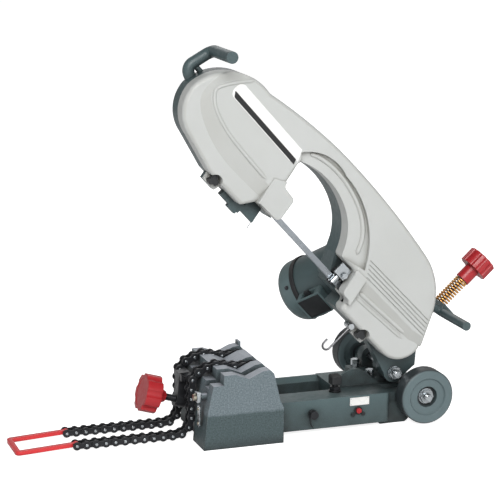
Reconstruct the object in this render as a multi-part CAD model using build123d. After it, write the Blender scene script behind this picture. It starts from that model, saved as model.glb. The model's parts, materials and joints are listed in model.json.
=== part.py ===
from build123d import *
from math import atan2, cos, degrees, hypot, pi, radians, sin
import os

# Portable metal band saw: a cast base with a chain vise and a hinged saw arm.
# X runs right along the base, Y away from the operator, Z up, in millimetres.
# The origin is on the floor under the vee notch, in the plane of the blade.

# Clearances
RUN_GAP = 0.05
PRESS_GAP = 0.02
PART_GAP = 0.3

# Vee block
BLOCK_LEFT = -75.0
BLOCK_RIGHT = 60.0
BLOCK_FRONT = -28.0
BLOCK_DEPTH = 171.0
BLOCK_STEP = 59.0
BLOCK_REAR_LEFT = -61.0
BLOCK_WALL = 9.0
NOTCH_Z = 112.5
LEFT_PEAK_Z = 121.5
RIGHT_PEAK_Z = 124.5
REST_LIP_X = (35.0, 39.0)
REST_LIP_W = 16.0
REST_LIP_RISE = 6.0
BLADE_SLOT_Z = 96.0
BLADE_SLOT = (-8.0, 10.0)
STRAND_Y = (44.0, 112.0)
CHAIN_SLOT_WIDTH = 23.0

# Roller chain
PITCH = 15.875
ROLLER_R = 5.08
PLATE_H = 15.0
PLATE_T = 2.0
ROLLER_L = 9.4
PLATE_GAP = 0.1
PLATE_END_GAP = 0.4
PLATE_WAIST = 0.66
PLATE_FACET = 0.42
PIN_R = 2.5
PIN_HEAD = 1.2
ANCHOR_X = 30.0
ANCHOR_Z = 114.0
ANCHOR_R = 2.5
FLOOR_CHAIN_Z = PLATE_H / 2 + 0.2
HANG_X = -75.5
DRAPE_LINKS = 14
TAIL_LINKS = 10
BAIL_LENGTH = 98.0
BAIL_BAR = 8.0
BAIL_T = 4.0
BAIL_EYE_R = 5.0

# Vise screw
SCREW_Z = 49.0
SCREW_TILT = 16.6
SCREW_R = 6.0
SCREW_DEPTH = 15.0
KNOB_FROM = 64.0
KNOB_R = 31.0
KNOB_T = 26.0
KNOB_LOBES = 5
CATCH_AT = 22.0
CATCH_TRAVEL = 14.0
CATCH_R = 12.0
CATCH_W = 20.0
CATCH_TOP = 103.0

# Latch on the block's left face
LATCH_R = 5.5
LATCH_DEPTH = 18.0
LATCH_Y = -3.0
LATCH_Z = 83.0
LATCH_PIN_R = 2.5

# Base
RAIL_BOTTOM = 9.0
DECK_Z = 59.0
FRONT_Y = -4.0
FRONT_RAIL_W = 47.0
REAR_RAIL_Y = 122.0
REAR_RAIL_W = 16.0
RAIL_INNER_BEVEL = 8.5
RAIL_OUTER_BEVEL = 4.0
WELL_RIGHT = 178.0
RAIL_END = 257.0
END_ROUND = 9.0
DECK_RIGHT = 300.0
HUMP_T = 5.0
BASE_WALL = 6.0
FLANGE_T = 8.0
BLOCK_BOLT_R = 4.0
AXLE_X = 318.0
AXLE_Z = 48.5
AXLE_R = 8.0
AXLE_TUBE_R = 15.0
WHEEL_R = 46.0
WHEEL_W = 31.0
NEAR_WHEEL_Y = -18.0
FAR_WHEEL_Y = 268.0
WHEEL_HUB_R = 17.5
WHEEL_NUT = 20.0
WHEEL_WASHER_R = 13.0
WHEEL_WASHER_T = 2.0
WHEEL_NUT_T = 6.0
FOOT_LEFT = 246.0
FOOT_RIGHT = 297.0
FRONT_FOOT_Y = 14.0
REAR_FOOT_Y = 225.0
REAR_FOOT_W = 35.0

# Pivot
PIVOT_X = 273.0
PIVOT_Z = 85.0
PIVOT_R = 6.0
PIVOT_BOSS_R = 16.0
PIVOT_WASHER_R = 11.0
FRONT_LUG = (58.0, 76.0)
REAR_LUG = (124.0, 142.0)
ARM_LUG = (22.0, 46.0)
SHAFT_FRONT = 12.0
SHAFT_BACK = 154.0
BRACKET_FOOT_T = 8.0
BRACKET_BOLT_X = 249.0
RAISE = 47.5

# Down stop
STOP_X = 171.0
STOP_Y = 30.0
STOP_TOP = 88.0
STOP_RUBBER = 18.0
STOP_RUBBER_H = 15.0
STUD_R = 5.0

# Front rail fittings
BUTTON_X = 199.0
BUTTON_Z = 34.0
BUTTON_R = 4.4
BUTTON_TRAVEL = 2.0
PEG_X = 118.0
PEG_Z = 36.0
PEG_R = 4.0

# Arm, drawn with the blade level and the pivot at u = 0, v = 0
BAND_R = 54.0
BAND_V = 82.75
IDLER_U = -541.0
DRIVE_U = -112.0
BLADE_W = 9.5
BLADE_T = 0.65
BAND_WHEEL_W = 16.0
TYRE_T = 2.0
COVER_FRONT = -28.0
FRAME_FRONT = 8.0
FRAME_BACK = 50.0
WEB_FRONT = 12.0
WEB_T = 6.0
COVER_WALL = 3.5
FRAME_WALL = 6.0
COVER_ROUND = 7.0
LIP_DEPTH = 8.0
GUARD_RISE = 2.0
GUARD_ROUND = 1.5
GROOVES = 5
GROOVE_FROM = (-198.0, 88.6)
GROOVE_TO = (-42.0, 93.0)
GROOVE_PITCH = 5.7
GROOVE_LEAN = (4.2, 2.0)
GROOVE_W = 1.6
GROOVE_DEPTH = 1.0
UPPER_GUIDE_U = -381.0
LOWER_GUIDE_U = -210.0
GUIDE_ROLLER_R = 5.5
GUIDE_ROLLER_H = 13.0
GUIDE_PIN_R = 2.5
GUIDE_PLATE_T = 9.0
UPPER_BACK = 35.0
UPPER_SCREW = (-477.0, -5.0)
LOWER_SCREW = (-108.0, -1.0)
HAND_SCREW_R = 9.0
SCREW_WELL_R = 11.0
SCREW_SHANK_R = 3.0
TAB_T = 6.0
EAR_T = 10.0
HOOK_PIVOT = (-132.0, -4.0)
HOOK_Y = -9.5
HOOK_WIRE_R = 1.8
HOOK_BEND_R = 7.0
HOOK_LENGTH = 50.0
HOOK_TIP = 8.0
HOOK_PIN_R = 2.5

# Idler and tension slide
IDLER_AXLE_R = 8.0
KEY_L = 26.0
KEY_W = 28.0
IDLER_BEARING_R = 17.0
SLIDE_W = 40.0
SLIDE_L = 60.0
SLIDE_T = 12.0
SLIDE_TRAVEL = 4.0
TENSION_R = 4.0
TENSION_DROP = 13.0
TENSION_LUG = 48.0
TENSION_LUG_T = 8.0
TENSION_HEAD = 10.0

# Drive
DRIVE_SHAFT_R = 10.0
BEARING_R = 21.0
DRIVE_GEAR_Y = (60.0, 72.0)
DRIVE_TEETH = 39
PINION_TEETH = 12
BEVEL_TEETH = 35
BEVEL_PINION_TEETH = 10
COUNTER_U = -150.0
COUNTER_V = 118.0
COUNTER_R = 7.0
APEX_Y = 68.0
MOTOR_TILT = 45.0
CONE_OUTER = 62.0
CONE_FACE = 16.0
MOTOR_R = 52.0
MOTOR_FROM = 72.0
MOTOR_SEAM = 150.0
MOTOR_END = 186.0
MOTOR_WALL = 5.0
ROTOR_R = 28.0
SWITCH_PIN_R = 2.0
CASE_LEFT = -204.0
CASE_RIGHT = -64.0
CASE_TOP = 165.0
CASE_WALL = 5.0

# Handles and load adjuster
GRIP_R = 9.5
GRIP_BRACE_R = 4.5
REAR_GRIP_R = 7.5
FRONT_GRIP = (-616.0, 136.0)
REAR_GRIP = (6.0, 133.0)
GRIP_END = -68.0
REAR_GRIP_END = -38.0
ROD_Y = 100.0
ROD_U = 12.0
ANCHOR_W = 7.0
ROD_R = 4.0
EYE_R = 7.0
EYE_PIN_R = 3.0
ROD_SWAY = 2.0
SEAT_V = 146.0
SPRING_LENGTH = 57.0
SPRING_R = 10.5
SPRING_WIRE_R = 1.4
SPRING_TURNS = 9
SPRING_EASE = 0.17
LOAD_KNOB_R = 26.0
LOAD_KNOB_T = 27.0
LOAD_NECK_R = 13.0
LOAD_NECK_L = 26.0


# Building helpers

def block(x0, x1, y0, y1, z0, z1):
    """A box between two corners."""
    return Pos((x0 + x1) / 2, (y0 + y1) / 2, (z0 + z1) / 2) * Box(x1 - x0, y1 - y0, z1 - z0)


def rod_y(radius, y0, y1, x, z):
    """A round bar along Y."""
    return Pos(x, (y0 + y1) / 2, z) * Rot(90, 0, 0) * Cylinder(radius, y1 - y0)


def rod_x(radius, x0, x1, y, z):
    """A round bar along X."""
    return Pos((x0 + x1) / 2, y, z) * Rot(0, 90, 0) * Cylinder(radius, x1 - x0)


def rod_z(radius, z0, z1, x, y):
    """A round bar along Z."""
    return Pos(x, y, (z0 + z1) / 2) * Cylinder(radius, z1 - z0)


def ring_y(outer, inner, y0, y1, x, z):
    """A ring about a line along Y."""
    return rod_y(outer, y0, y1, x, z) - rod_y(inner, y0 - 1, y1 + 1, x, z)


def hex_y(flats, y0, y1, x, z):
    """A hexagon bar along Y, given across flats."""
    face = RegularPolygon(flats / 2, 6, major_radius=False)
    return Pos(x, 0, z) * slab(face, y0, y1)


def slab(face, y0, y1):
    """A flat outline drawn as (u, v), made solid from y0 to y1."""
    return Rot(90, 0, 0) * (Pos(0, 0, -y1) * extrude(face, y1 - y0))


def across(face, x0, x1):
    """An outline drawn as (y, z), made solid from x0 to x1."""
    return extrude(Plane.YZ.offset(x0) * face, x1 - x0)


def polygon(points):
    """A straight-sided outline."""
    return make_face(Polyline(*points, close=True))


def raised(shape):
    """Swings a piece drawn with the blade level up to the arm's rest position."""
    return Pos(PIVOT_X, 0, PIVOT_Z) * Rot(0, RAISE, 0) * shape


def group(pieces):
    """Separate solids that share one node."""
    return Compound(children=[solid for piece in pieces for solid in piece.solids()])


# Base and vise

def vee_profile():
    """Side outline of the vee block, with its shoulder, peaks and notch."""
    return polygon([
        (BLOCK_LEFT, 0), (BLOCK_LEFT + 7, 64), (BLOCK_LEFT + 16, 105), (-42, 105),
        (-41, LEFT_PEAK_Z), (-22, LEFT_PEAK_Z), (0, NOTCH_Z), (24, RIGHT_PEAK_Z - 1.5),
        (36, RIGHT_PEAK_Z), (43, RIGHT_PEAK_Z - 7), (54, 72), (BLOCK_RIGHT, DECK_Z), (BLOCK_RIGHT, 0),
    ])


def chain_slot_profile():
    """Room above the floor of a chain slot."""
    floor = ANCHOR_Z - PLATE_H / 2 - 1
    return polygon([
        (BLOCK_RIGHT + 5, floor - 6), (ANCHOR_X, floor), (0, floor), (-38, LEFT_PEAK_Z - 13),
        (-54, 100), (BLOCK_REAR_LEFT, 88), (BLOCK_LEFT - 5, 88), (BLOCK_LEFT - 5, 140), (BLOCK_RIGHT + 5, 140),
    ])


def vee_block():
    """Pipe rest: a hollow casting with slots for the blade and the chains."""
    back = BLOCK_FRONT + BLOCK_DEPTH
    step = BLOCK_FRONT + BLOCK_STEP
    body = slab(vee_profile(), BLOCK_FRONT, back)
    body -= block(BLOCK_LEFT - 1, BLOCK_REAR_LEFT, step, back + 1, -1, 140)
    body -= block(-80, 80, *BLADE_SLOT, BLADE_SLOT_Z, 140)
    for y in STRAND_Y:
        half = CHAIN_SLOT_WIDTH / 2
        body -= slab(chain_slot_profile(), y - half, y + half)
    body += block(*REST_LIP_X, back - REST_LIP_W, back, RIGHT_PEAK_Z - REST_LIP_RISE, RIGHT_PEAK_Z + REST_LIP_RISE)
    for y0, y1 in hollow_bays():
        body -= hollow(y0, y1)
    body -= rod_y(ANCHOR_R + PRESS_GAP, BLADE_SLOT[1] + 14, back + 1, ANCHOR_X, ANCHOR_Z)
    body -= on_screw(Cylinder(SCREW_R + RUN_GAP, 2 * SCREW_DEPTH))
    body -= rod_x(LATCH_R, BLOCK_LEFT - 1, BLOCK_LEFT + LATCH_DEPTH, LATCH_Y, LATCH_Z)
    for y, z in block_bolt_places():
        body -= rod_x(BLOCK_BOLT_R + PRESS_GAP, BLOCK_RIGHT - BLOCK_WALL - 1, BLOCK_RIGHT + 1, y, z)
    return body


def hollow_bays():
    """Y spans of the pockets under the vee block, with a rib under the blade slot."""
    back = BLOCK_FRONT + BLOCK_DEPTH
    step = BLOCK_FRONT + BLOCK_STEP
    return [(BLOCK_FRONT + BLOCK_WALL, -5), (5, step - BLOCK_WALL), (step, 78 - 14), (78 + 14, back - BLOCK_WALL)]


def hollow(y0, y1):
    """One pocket under the vee block, tapered like its sides."""
    left = BLOCK_LEFT if y0 < BLOCK_FRONT + BLOCK_STEP - 1 else BLOCK_REAR_LEFT
    return slab(polygon([
        (left + BLOCK_WALL + 1, -1), (left + BLOCK_WALL + 8, 84), (38, 84), (BLOCK_RIGHT - BLOCK_WALL, 50),
        (BLOCK_RIGHT - BLOCK_WALL, -1),
    ]), y0, y1)


def block_bolt_places():
    """Where the vee block is bolted to the base flange."""
    return [(y, z) for y in (13.5, 108.0) for z in (22.0, 40.0)]


def vee_block_bolts():
    """Hexagon bolts from inside the vee block into the base flange."""
    bolts = []
    for y, z in block_bolt_places():
        shank = rod_x(BLOCK_BOLT_R, BLOCK_RIGHT - BLOCK_WALL, BLOCK_RIGHT + FLANGE_T, y, z)
        head = Pos(BLOCK_RIGHT - BLOCK_WALL - 3.5, y, z) * Rot(0, 90, 0) * extrude(
            RegularPolygon(6.5, 6, major_radius=False), 3.5, both=True)
        bolts.append(shank + head)
    return group(bolts)


def on_screw(shape):
    """Places a shape drawn along Z on the vise screw's line, outwards from the block face."""
    middle = sum(STRAND_Y) / 2
    return Pos(BLOCK_REAR_LEFT, middle, SCREW_Z) * Rot(0, SCREW_TILT - 90, 0) * shape


def vise_screw():
    """Threaded bar of the vise."""
    length = SCREW_DEPTH - 1 + KNOB_FROM + KNOB_T / 2
    return on_screw(Pos(0, 0, 1 - SCREW_DEPTH + length / 2) * Cylinder(SCREW_R, length))


def lobed(radius, lobes, depth):
    """A round outline with hollows between its lobes."""
    face = Circle(radius)
    bite = radius * sin(pi / lobes) * 0.62
    for index in range(lobes):
        angle = 360 * (index + 0.5) / lobes
        face -= Rot(0, 0, angle) * Pos(radius + bite - depth, 0) * Circle(bite)
    return face


def vise_knob():
    """Red five-lobed knob on the vise screw."""
    head = extrude(lobed(KNOB_R, KNOB_LOBES, 7), KNOB_T)
    head = chamfer(head.faces().filter_by(Axis.Z).edges(), 2.5)
    neck = Pos(0, 0, -6) * Cylinder(10, 12)
    solid = head + neck - Pos(0, 0, -6) * Cylinder(SCREW_R + PRESS_GAP, KNOB_T + 12.0)
    return on_screw(Pos(0, 0, KNOB_FROM) * solid)


def chain_catch():
    """Claw that the vise screw pulls, with two horns for the chain pins."""
    middle = sum(STRAND_Y) / 2
    tilt = radians(SCREW_TILT)
    x = BLOCK_REAR_LEFT - CATCH_AT * cos(tilt)
    z = SCREW_Z + CATCH_AT * sin(tilt)
    half = CATCH_W / 2
    web = slab(polygon([
        (x - 8, z), (x - 4, CATCH_TOP), (x + 14, CATCH_TOP + 1), (x + 17, CATCH_TOP - 12), (x + 8, z + 14), (x + 8, z),
    ]), middle - half, middle + half)
    bar = slab(polygon([
        (x - 4, CATCH_TOP - 11), (x - 4, CATCH_TOP), (x + 3, CATCH_TOP - 4), (x + 14, CATCH_TOP + 1),
        (x + 17, CATCH_TOP - 12),
    ]), middle - half - 11, middle + half + 11)
    boss = on_screw(Pos(0, 0, CATCH_AT) * Cylinder(CATCH_R, CATCH_W))
    return web + bar + boss - on_screw(Cylinder(SCREW_R + RUN_GAP, 200))


def chain_path():
    """Line of the chain's pins from the anchor, over the block and along the floor."""
    tail = HANG_X - (TAIL_LINKS + 4) * PITCH
    corners = [
        (ANCHOR_X, 0, ANCHOR_Z), (4, 0, ANCHOR_Z), (-36, 0, LEFT_PEAK_Z), (HANG_X, 0, 106),
        (HANG_X, 0, FLOOR_CHAIN_Z), (tail, 0, FLOOR_CHAIN_Z),
    ]
    return FilletPolyline(*corners, radius=[30, 30, 24, 26])


def chain_pins(count):
    """Pin places one pitch apart along the chain path."""
    path = chain_path()
    pins = [path.position_at(0, position_mode=PositionMode.LENGTH)]
    at = 0.0
    for _ in range(count):
        low = at + 0.5 * PITCH
        high = at + 1.5 * PITCH
        for _ in range(24):
            middle = (low + high) / 2
            point = path.position_at(middle, position_mode=PositionMode.LENGTH)
            if (point - pins[-1]).length < PITCH:
                low = middle
            else:
                high = middle
        at = (low + high) / 2
        pins.append(path.position_at(at, position_mode=PositionMode.LENGTH))
    return pins


def plate_outline(height):
    """Waisted link plate with faceted ends, one pitch between its pins."""
    half = height / 2
    cut = half * PLATE_FACET
    eye = PITCH / 2
    end = eye + half - PLATE_END_GAP
    side = [(end, cut), (eye + cut, half), (eye - cut, half), (0, half * PLATE_WAIST), (cut - eye, half),
            (-eye - cut, half), (-end, cut)]
    return polygon(side + [(x, -z) for x, z in reversed(side)])


def inner_link():
    """Two inner plates with their rollers."""
    half = ROLLER_L / 2
    plate = extrude(plate_outline(PLATE_H), PLATE_T)
    link = Pos(0, 0, half) * plate + Pos(0, 0, -half - PLATE_T) * plate
    for x in (-PITCH / 2, PITCH / 2):
        link += Pos(x, 0, 0) * extrude(RegularPolygon(ROLLER_R, 6), half, both=True)
    return link


def outer_link(hinged):
    """Two outer plates with the pin ends that hold them; a hinged link has round ends on its far pin."""
    half = ROLLER_L / 2 + PLATE_T + PLATE_GAP
    plate = extrude(plate_outline(PLATE_H - 1.0), PLATE_T)
    pieces = []
    for side in (1, -1):
        level = half if side > 0 else -half - PLATE_T
        piece = Pos(0, 0, level) * plate
        for x in (-PITCH / 2, PITCH / 2):
            top = half + PLATE_T if side > 0 else -half - PLATE_T - PIN_HEAD
            end = Circle(PIN_R) if hinged and x > 0 else RegularPolygon(PIN_R, 6)
            piece += Pos(x, 0, top) * extrude(end, PIN_HEAD)
        pieces.append(piece)
    return pieces


def chain_links(pins, first, y):
    """Links between neighbouring pins; inner and outer links alternate."""
    inner = inner_link()
    pieces = []
    for index, (a, b) in enumerate(zip(pins, pins[1:])):
        angle = degrees(atan2(b.Z - a.Z, b.X - a.X))
        place = Pos((a.X + b.X) / 2, y, (a.Z + b.Z) / 2) * Rot(0, -angle, 0) * Rot(90, 0, 0)
        hinged = index + first == DRAPE_LINKS - 1
        link = [inner] if (index + first) % 2 == 0 else outer_link(hinged)
        pieces += [place * piece for piece in link]
    return pieces


def chain_bail(end):
    """Red flat U with an eye on the last pin of each chain, its far end on the floor."""
    low = STRAND_Y[0] - BAIL_BAR / 2
    high = STRAND_Y[1] + BAIL_BAR / 2
    frame = block(-BAIL_LENGTH, 0, low, high, -BAIL_T / 2, BAIL_T / 2)
    frame -= block(BAIL_BAR - BAIL_LENGTH, 1, low + BAIL_BAR, high - BAIL_BAR, -BAIL_T, BAIL_T)
    frame = fillet(frame.edges().filter_by(Axis.Z).group_by(Axis.X)[0], BAIL_BAR)
    for y in STRAND_Y:
        frame += rod_y(BAIL_EYE_R, y - BAIL_BAR / 2, y + BAIL_BAR / 2, 0, 0)
    for y in STRAND_Y:
        frame -= rod_y(PIN_R + RUN_GAP, y - BAIL_BAR, y + BAIL_BAR, 0, 0)
    drop = degrees(atan2(end.Z - BAIL_T / 2 - 0.2, BAIL_LENGTH))
    return Pos(end.X, 0, end.Z) * Rot(0, -drop, 0) * frame


def bail_pins(end):
    """Pins between the last outer plates, one in each bail eye."""
    half = ROLLER_L / 2 + PLATE_T + PLATE_GAP
    return [rod_y(PIN_R, y - half, y + half, end.X, end.Z) for y in STRAND_Y]


def chain_anchor_pin():
    """Pin through the ridges that holds both chains."""
    back = BLOCK_FRONT + BLOCK_DEPTH
    return rod_y(ANCHOR_R, BLADE_SLOT[1] + 14, back - 2, ANCHOR_X, ANCHOR_Z)


def latch_barrel():
    """Threaded sleeve of the spring plunger on the block's left face."""
    sleeve = rod_x(LATCH_R - PRESS_GAP, BLOCK_LEFT, BLOCK_LEFT + LATCH_DEPTH, LATCH_Y, LATCH_Z)
    return sleeve - rod_x(LATCH_PIN_R + RUN_GAP, BLOCK_LEFT - 1, BLOCK_LEFT + LATCH_DEPTH - 4, LATCH_Y, LATCH_Z)


def latch_pin():
    """Pull pin of the spring plunger, with its knurled head."""
    pin = rod_x(LATCH_PIN_R, BLOCK_LEFT - 8, BLOCK_LEFT + LATCH_DEPTH - 5, LATCH_Y, LATCH_Z)
    return pin + rod_x(LATCH_R, BLOCK_LEFT - 10, BLOCK_LEFT - 1, LATCH_Y, LATCH_Z)


def rail_end(y0, y1, z0, z1):
    """A rail from the flange to its right end, with rounded end corners."""
    bar = block(BLOCK_RIGHT, RAIL_END, y0, y1, z0, z1)
    return fillet(bar.edges().filter_by(Axis.Z).group_by(Axis.X)[-1], min(END_ROUND, 0.45 * (y1 - y0)))


def base_frame():
    """Cast base: two rails round a well, a deck, an axle tube and feet."""
    front_back = FRONT_Y + FRONT_RAIL_W
    rear_back = REAR_RAIL_Y + REAR_RAIL_W
    base = rail_end(FRONT_Y, front_back, RAIL_BOTTOM, DECK_Z)
    base += rail_end(REAR_RAIL_Y, rear_back, RAIL_BOTTOM, DECK_Z)
    base += block(BLOCK_RIGHT, BLOCK_RIGHT + FLANGE_T, FRONT_Y, rear_back, RAIL_BOTTOM, DECK_Z)
    base += block(WELL_RIGHT, DECK_RIGHT, front_back - 1, rear_back, RAIL_BOTTOM + 12, DECK_Z)
    base -= motor_relief()
    base += axle_carrier()
    base += hump_wall()
    for pocket in underside_pockets():
        base -= pocket
    base += front_foot()
    base += rear_foot()
    base -= rod_y(AXLE_R + RUN_GAP, 0, FAR_WHEEL_Y, AXLE_X, AXLE_Z)
    base -= rod_y(BUTTON_R + RUN_GAP * 3, FRONT_Y - 1, FRONT_Y + BASE_WALL + 1, BUTTON_X, BUTTON_Z)
    base -= rod_y(PEG_R + PRESS_GAP, FRONT_Y - 1, FRONT_Y + BASE_WALL + 1, PEG_X, PEG_Z)
    for x, z in button_screw_places():
        base -= rod_y(1.6, FRONT_Y - 1, FRONT_Y + BASE_WALL + 1, x, z)
    base -= rod_z(STUD_R + PRESS_GAP, DECK_Z - BASE_WALL - 1, DECK_Z + 1, STOP_X, STOP_Y)
    for y in bracket_bolt_ys():
        base -= rod_z(5 + PRESS_GAP, DECK_Z - BASE_WALL - 1, DECK_Z + 1, BRACKET_BOLT_X, y)
    for y, z in block_bolt_places():
        base -= rod_x(BLOCK_BOLT_R + PRESS_GAP, BLOCK_RIGHT - 1, BLOCK_RIGHT + FLANGE_T + 1, y, z)
    return base


def motor_relief():
    """Bevels along the rear rail's top, room for the lowered motor and its switch."""
    left = BLOCK_RIGHT + FLANGE_T
    back = REAR_RAIL_Y + REAR_RAIL_W
    inner = RAIL_INNER_BEVEL + 1
    outer = RAIL_OUTER_BEVEL + 1
    top = DECK_Z + 1
    front_edge = polygon([(REAR_RAIL_Y - 1, top - inner - 1), (REAR_RAIL_Y + inner, top), (REAR_RAIL_Y - 1, top)])
    rear_edge = polygon([(back + 1, top - outer - 1), (back + 1, top), (back - outer, top)])
    return across(front_edge, left, WELL_RIGHT) + across(rear_edge, left, WELL_RIGHT)


def axle_carrier():
    """Tube for the axle and the webs that tie it to the deck."""
    start = FRONT_Y + FRONT_RAIL_W - 27
    end = FAR_WHEEL_Y - 4
    tube = rod_y(AXLE_TUBE_R, start, end, AXLE_X, AXLE_Z)
    plan = make_face(Polyline(
        (RAIL_END - 40, start), (AXLE_X, start), (AXLE_X, end), (AXLE_X - 14, end),
        (RAIL_END - 10, REAR_RAIL_Y + REAR_RAIL_W), (RAIL_END - 40, REAR_RAIL_Y + REAR_RAIL_W), close=True))
    return tube + Pos(0, 0, 24) * extrude(plan, AXLE_Z - 20)


def hump_wall():
    """Curved wall on the deck in front of the pivot bracket."""
    face = make_face([
        Line((184, DECK_Z - 2), (190, 76)), ThreePointArc((190, 76), (213, 87), (240, 76)),
        Line((240, 76), (262, DECK_Z - 2)), Line((262, DECK_Z - 2), (184, DECK_Z - 2)),
    ])
    return slab(face, FRONT_LUG[0] - 1 - HUMP_T, FRONT_LUG[0] - 1)


def underside_pockets():
    """Hollows that leave the rails and the deck as open-bottomed castings."""
    wall = BASE_WALL
    front_back = FRONT_Y + FRONT_RAIL_W
    top = DECK_Z - wall
    left = BLOCK_RIGHT + FLANGE_T
    return [
        block(left, WELL_RIGHT, FRONT_Y + wall, front_back - wall, -1, top),
        block(WELL_RIGHT + wall, RAIL_END - 15, FRONT_Y + wall, front_back, -1, top),
        block(WELL_RIGHT + wall, RAIL_END - 15, front_back - 1, REAR_RAIL_Y + REAR_RAIL_W - wall, -1, top),
    ]


def front_foot():
    """Cast foot under the front rail's right end."""
    return slab(polygon([
        (FOOT_LEFT - 10, RAIL_BOTTOM), (FOOT_LEFT, 0), (FOOT_RIGHT - 6, 0), (FOOT_RIGHT, 5),
        (FOOT_RIGHT + 8, 36), (FOOT_LEFT - 10, 36),
    ]), FRONT_FOOT_Y, FRONT_Y + FRONT_RAIL_W)


def rear_foot():
    """Cast foot under the far end of the axle tube."""
    return slab(polygon([
        (AXLE_X - 34, 0), (AXLE_X + 6, 0), (AXLE_X + 10, AXLE_Z - 10), (AXLE_X - 26, AXLE_Z - 10),
    ]), REAR_FOOT_Y, REAR_FOOT_Y + REAR_FOOT_W)


def bracket_bolt_ys():
    """Y places of the two pivot bracket bolts."""
    return sum(FRONT_LUG) / 2, sum(REAR_LUG) / 2


def pivot_bracket():
    """Foot plate with two lugs for the pivot shaft and the load anchor pin."""
    top = DECK_Z + BRACKET_FOOT_T
    plate = block(BRACKET_BOLT_X - 15, PIVOT_X + 26, FRONT_LUG[0], REAR_LUG[1], DECK_Z, top)
    bracket = plate
    for y0, y1 in (FRONT_LUG, REAR_LUG):
        lug = slab(polygon([
            (PIVOT_X - 15, top - 1), (PIVOT_X - 12, PIVOT_Z + 6), (PIVOT_X + 14, PIVOT_Z + 6),
            (PIVOT_X + 26, top - 1),
        ]), y0, y1)
        bracket += lug + rod_y(PIVOT_BOSS_R, y0, y1, PIVOT_X, PIVOT_Z)
    bracket -= rod_y(PIVOT_R + PRESS_GAP, FRONT_LUG[0] - 1, REAR_LUG[1] + 1, PIVOT_X, PIVOT_Z)
    x, z = anchor_place()
    bracket -= rod_y(EYE_PIN_R + PRESS_GAP, REAR_LUG[0] - 1, REAR_LUG[1] + 1, x, z)
    for y in bracket_bolt_ys():
        bracket -= rod_z(5 + PRESS_GAP, DECK_Z - 1, top + 1, BRACKET_BOLT_X, y)
    return bracket


def pivot_bracket_bolts():
    """Bright hexagon bolts with tall heads that hold the bracket down."""
    top = DECK_Z + BRACKET_FOOT_T
    bolts = []
    for y in bracket_bolt_ys():
        shank = rod_z(5, DECK_Z - BASE_WALL, top + 1, BRACKET_BOLT_X, y)
        head = Pos(BRACKET_BOLT_X, y, top) * extrude(RegularPolygon(6.5, 6, major_radius=False, rotation=30), 13)
        bolts.append(shank + head)
    return group(bolts)


def anchor_place():
    """World X and Z of the pin that anchors the load rod."""
    turn = radians(RAISE)
    x = PIVOT_X + ROD_U * cos(turn) + ANCHOR_W * sin(turn)
    z = PIVOT_Z - ROD_U * sin(turn) + ANCHOR_W * cos(turn)
    return x, z


def load_anchor_pin():
    """Pin in the rear lug that holds the eye of the load rod."""
    x, z = anchor_place()
    return rod_y(EYE_PIN_R, ROD_Y - EYE_R, REAR_LUG[1], x, z)


def pivot_shaft():
    """Shaft that the arm turns on."""
    return rod_y(PIVOT_R, SHAFT_FRONT, SHAFT_BACK, PIVOT_X, PIVOT_Z)


def pivot_nuts():
    """Front nut with its washer, and the collar between arm and bracket."""
    nut = hex_y(19, ARM_LUG[0] - 9.5, ARM_LUG[0] - 2.5, PIVOT_X, PIVOT_Z)
    washer = rod_y(PIVOT_WASHER_R, ARM_LUG[0] - 2.4, ARM_LUG[0] - PART_GAP, PIVOT_X, PIVOT_Z)
    collar = rod_y(11, ARM_LUG[1] + PART_GAP, FRONT_LUG[0], PIVOT_X, PIVOT_Z)
    rear = hex_y(19, REAR_LUG[1], REAR_LUG[1] + 8, PIVOT_X, PIVOT_Z)
    hole = rod_y(PIVOT_R + PRESS_GAP, 0, SHAFT_BACK + 5, PIVOT_X, PIVOT_Z)
    return group([piece - hole for piece in (nut, washer, collar, rear)])


def wheel_axle():
    """Axle through the base for both transport wheels."""
    return rod_y(AXLE_R, NEAR_WHEEL_Y + 1, FAR_WHEEL_Y + WHEEL_W - 1, AXLE_X, AXLE_Z)


def wheel_section(side):
    """Half section of a transport wheel: outer face towards side."""
    bore = AXLE_R + RUN_GAP
    out = WHEEL_W / 2
    points = [
        (bore, -out + 11), (WHEEL_HUB_R, -out + 11), (WHEEL_HUB_R, -out + 3), (30, -out + 3), (32, -out),
        (WHEEL_R - 3, -out), (WHEEL_R, -out + 3), (WHEEL_R, out - 3), (WHEEL_R - 3, out), (34, out),
        (32, out - 9), (18, out - 9), (17, out - 1), (bore, out - 1),
    ]
    return polygon([(r, side * y) for r, y in points])


def transport_wheel(y0, side):
    """Moulded wheel with a stepped face, a hub recess and a chamfered tread."""
    solid = revolve(wheel_section(side), Axis.Y)
    return Pos(AXLE_X, y0 + WHEEL_W / 2, AXLE_Z) * solid


def wheel_nuts():
    """Nut and washer at each end of the axle, inside the hub recess."""
    pieces = []
    for y0, side in ((NEAR_WHEEL_Y, 1), (FAR_WHEEL_Y, -1)):
        face = y0 + WHEEL_W / 2 - side * (WHEEL_W / 2 - 11)
        near, far = face - side * PART_GAP, face - side * (PART_GAP + WHEEL_WASHER_T)
        washer = ring_y(WHEEL_WASHER_R, AXLE_R + PRESS_GAP, *sorted((near, far)), AXLE_X, AXLE_Z)
        nut = hex_y(WHEEL_NUT, *sorted((far, far - side * WHEEL_NUT_T)), AXLE_X, AXLE_Z)
        pieces += [washer, nut - rod_y(AXLE_R + PRESS_GAP, -50, 400, AXLE_X, AXLE_Z)]
    return group(pieces)


def stop_stud():
    """Stud of the down stop with its flange nut on the rail."""
    stud = rod_z(STUD_R, DECK_Z - BASE_WALL, STOP_TOP - 6, STOP_X, STOP_Y)
    nut = rod_z(10, DECK_Z, DECK_Z + 3, STOP_X, STOP_Y)
    nut += Pos(STOP_X, STOP_Y, DECK_Z + 3) * extrude(RegularPolygon(8, 6, major_radius=False), 6)
    return stud + nut


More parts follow.
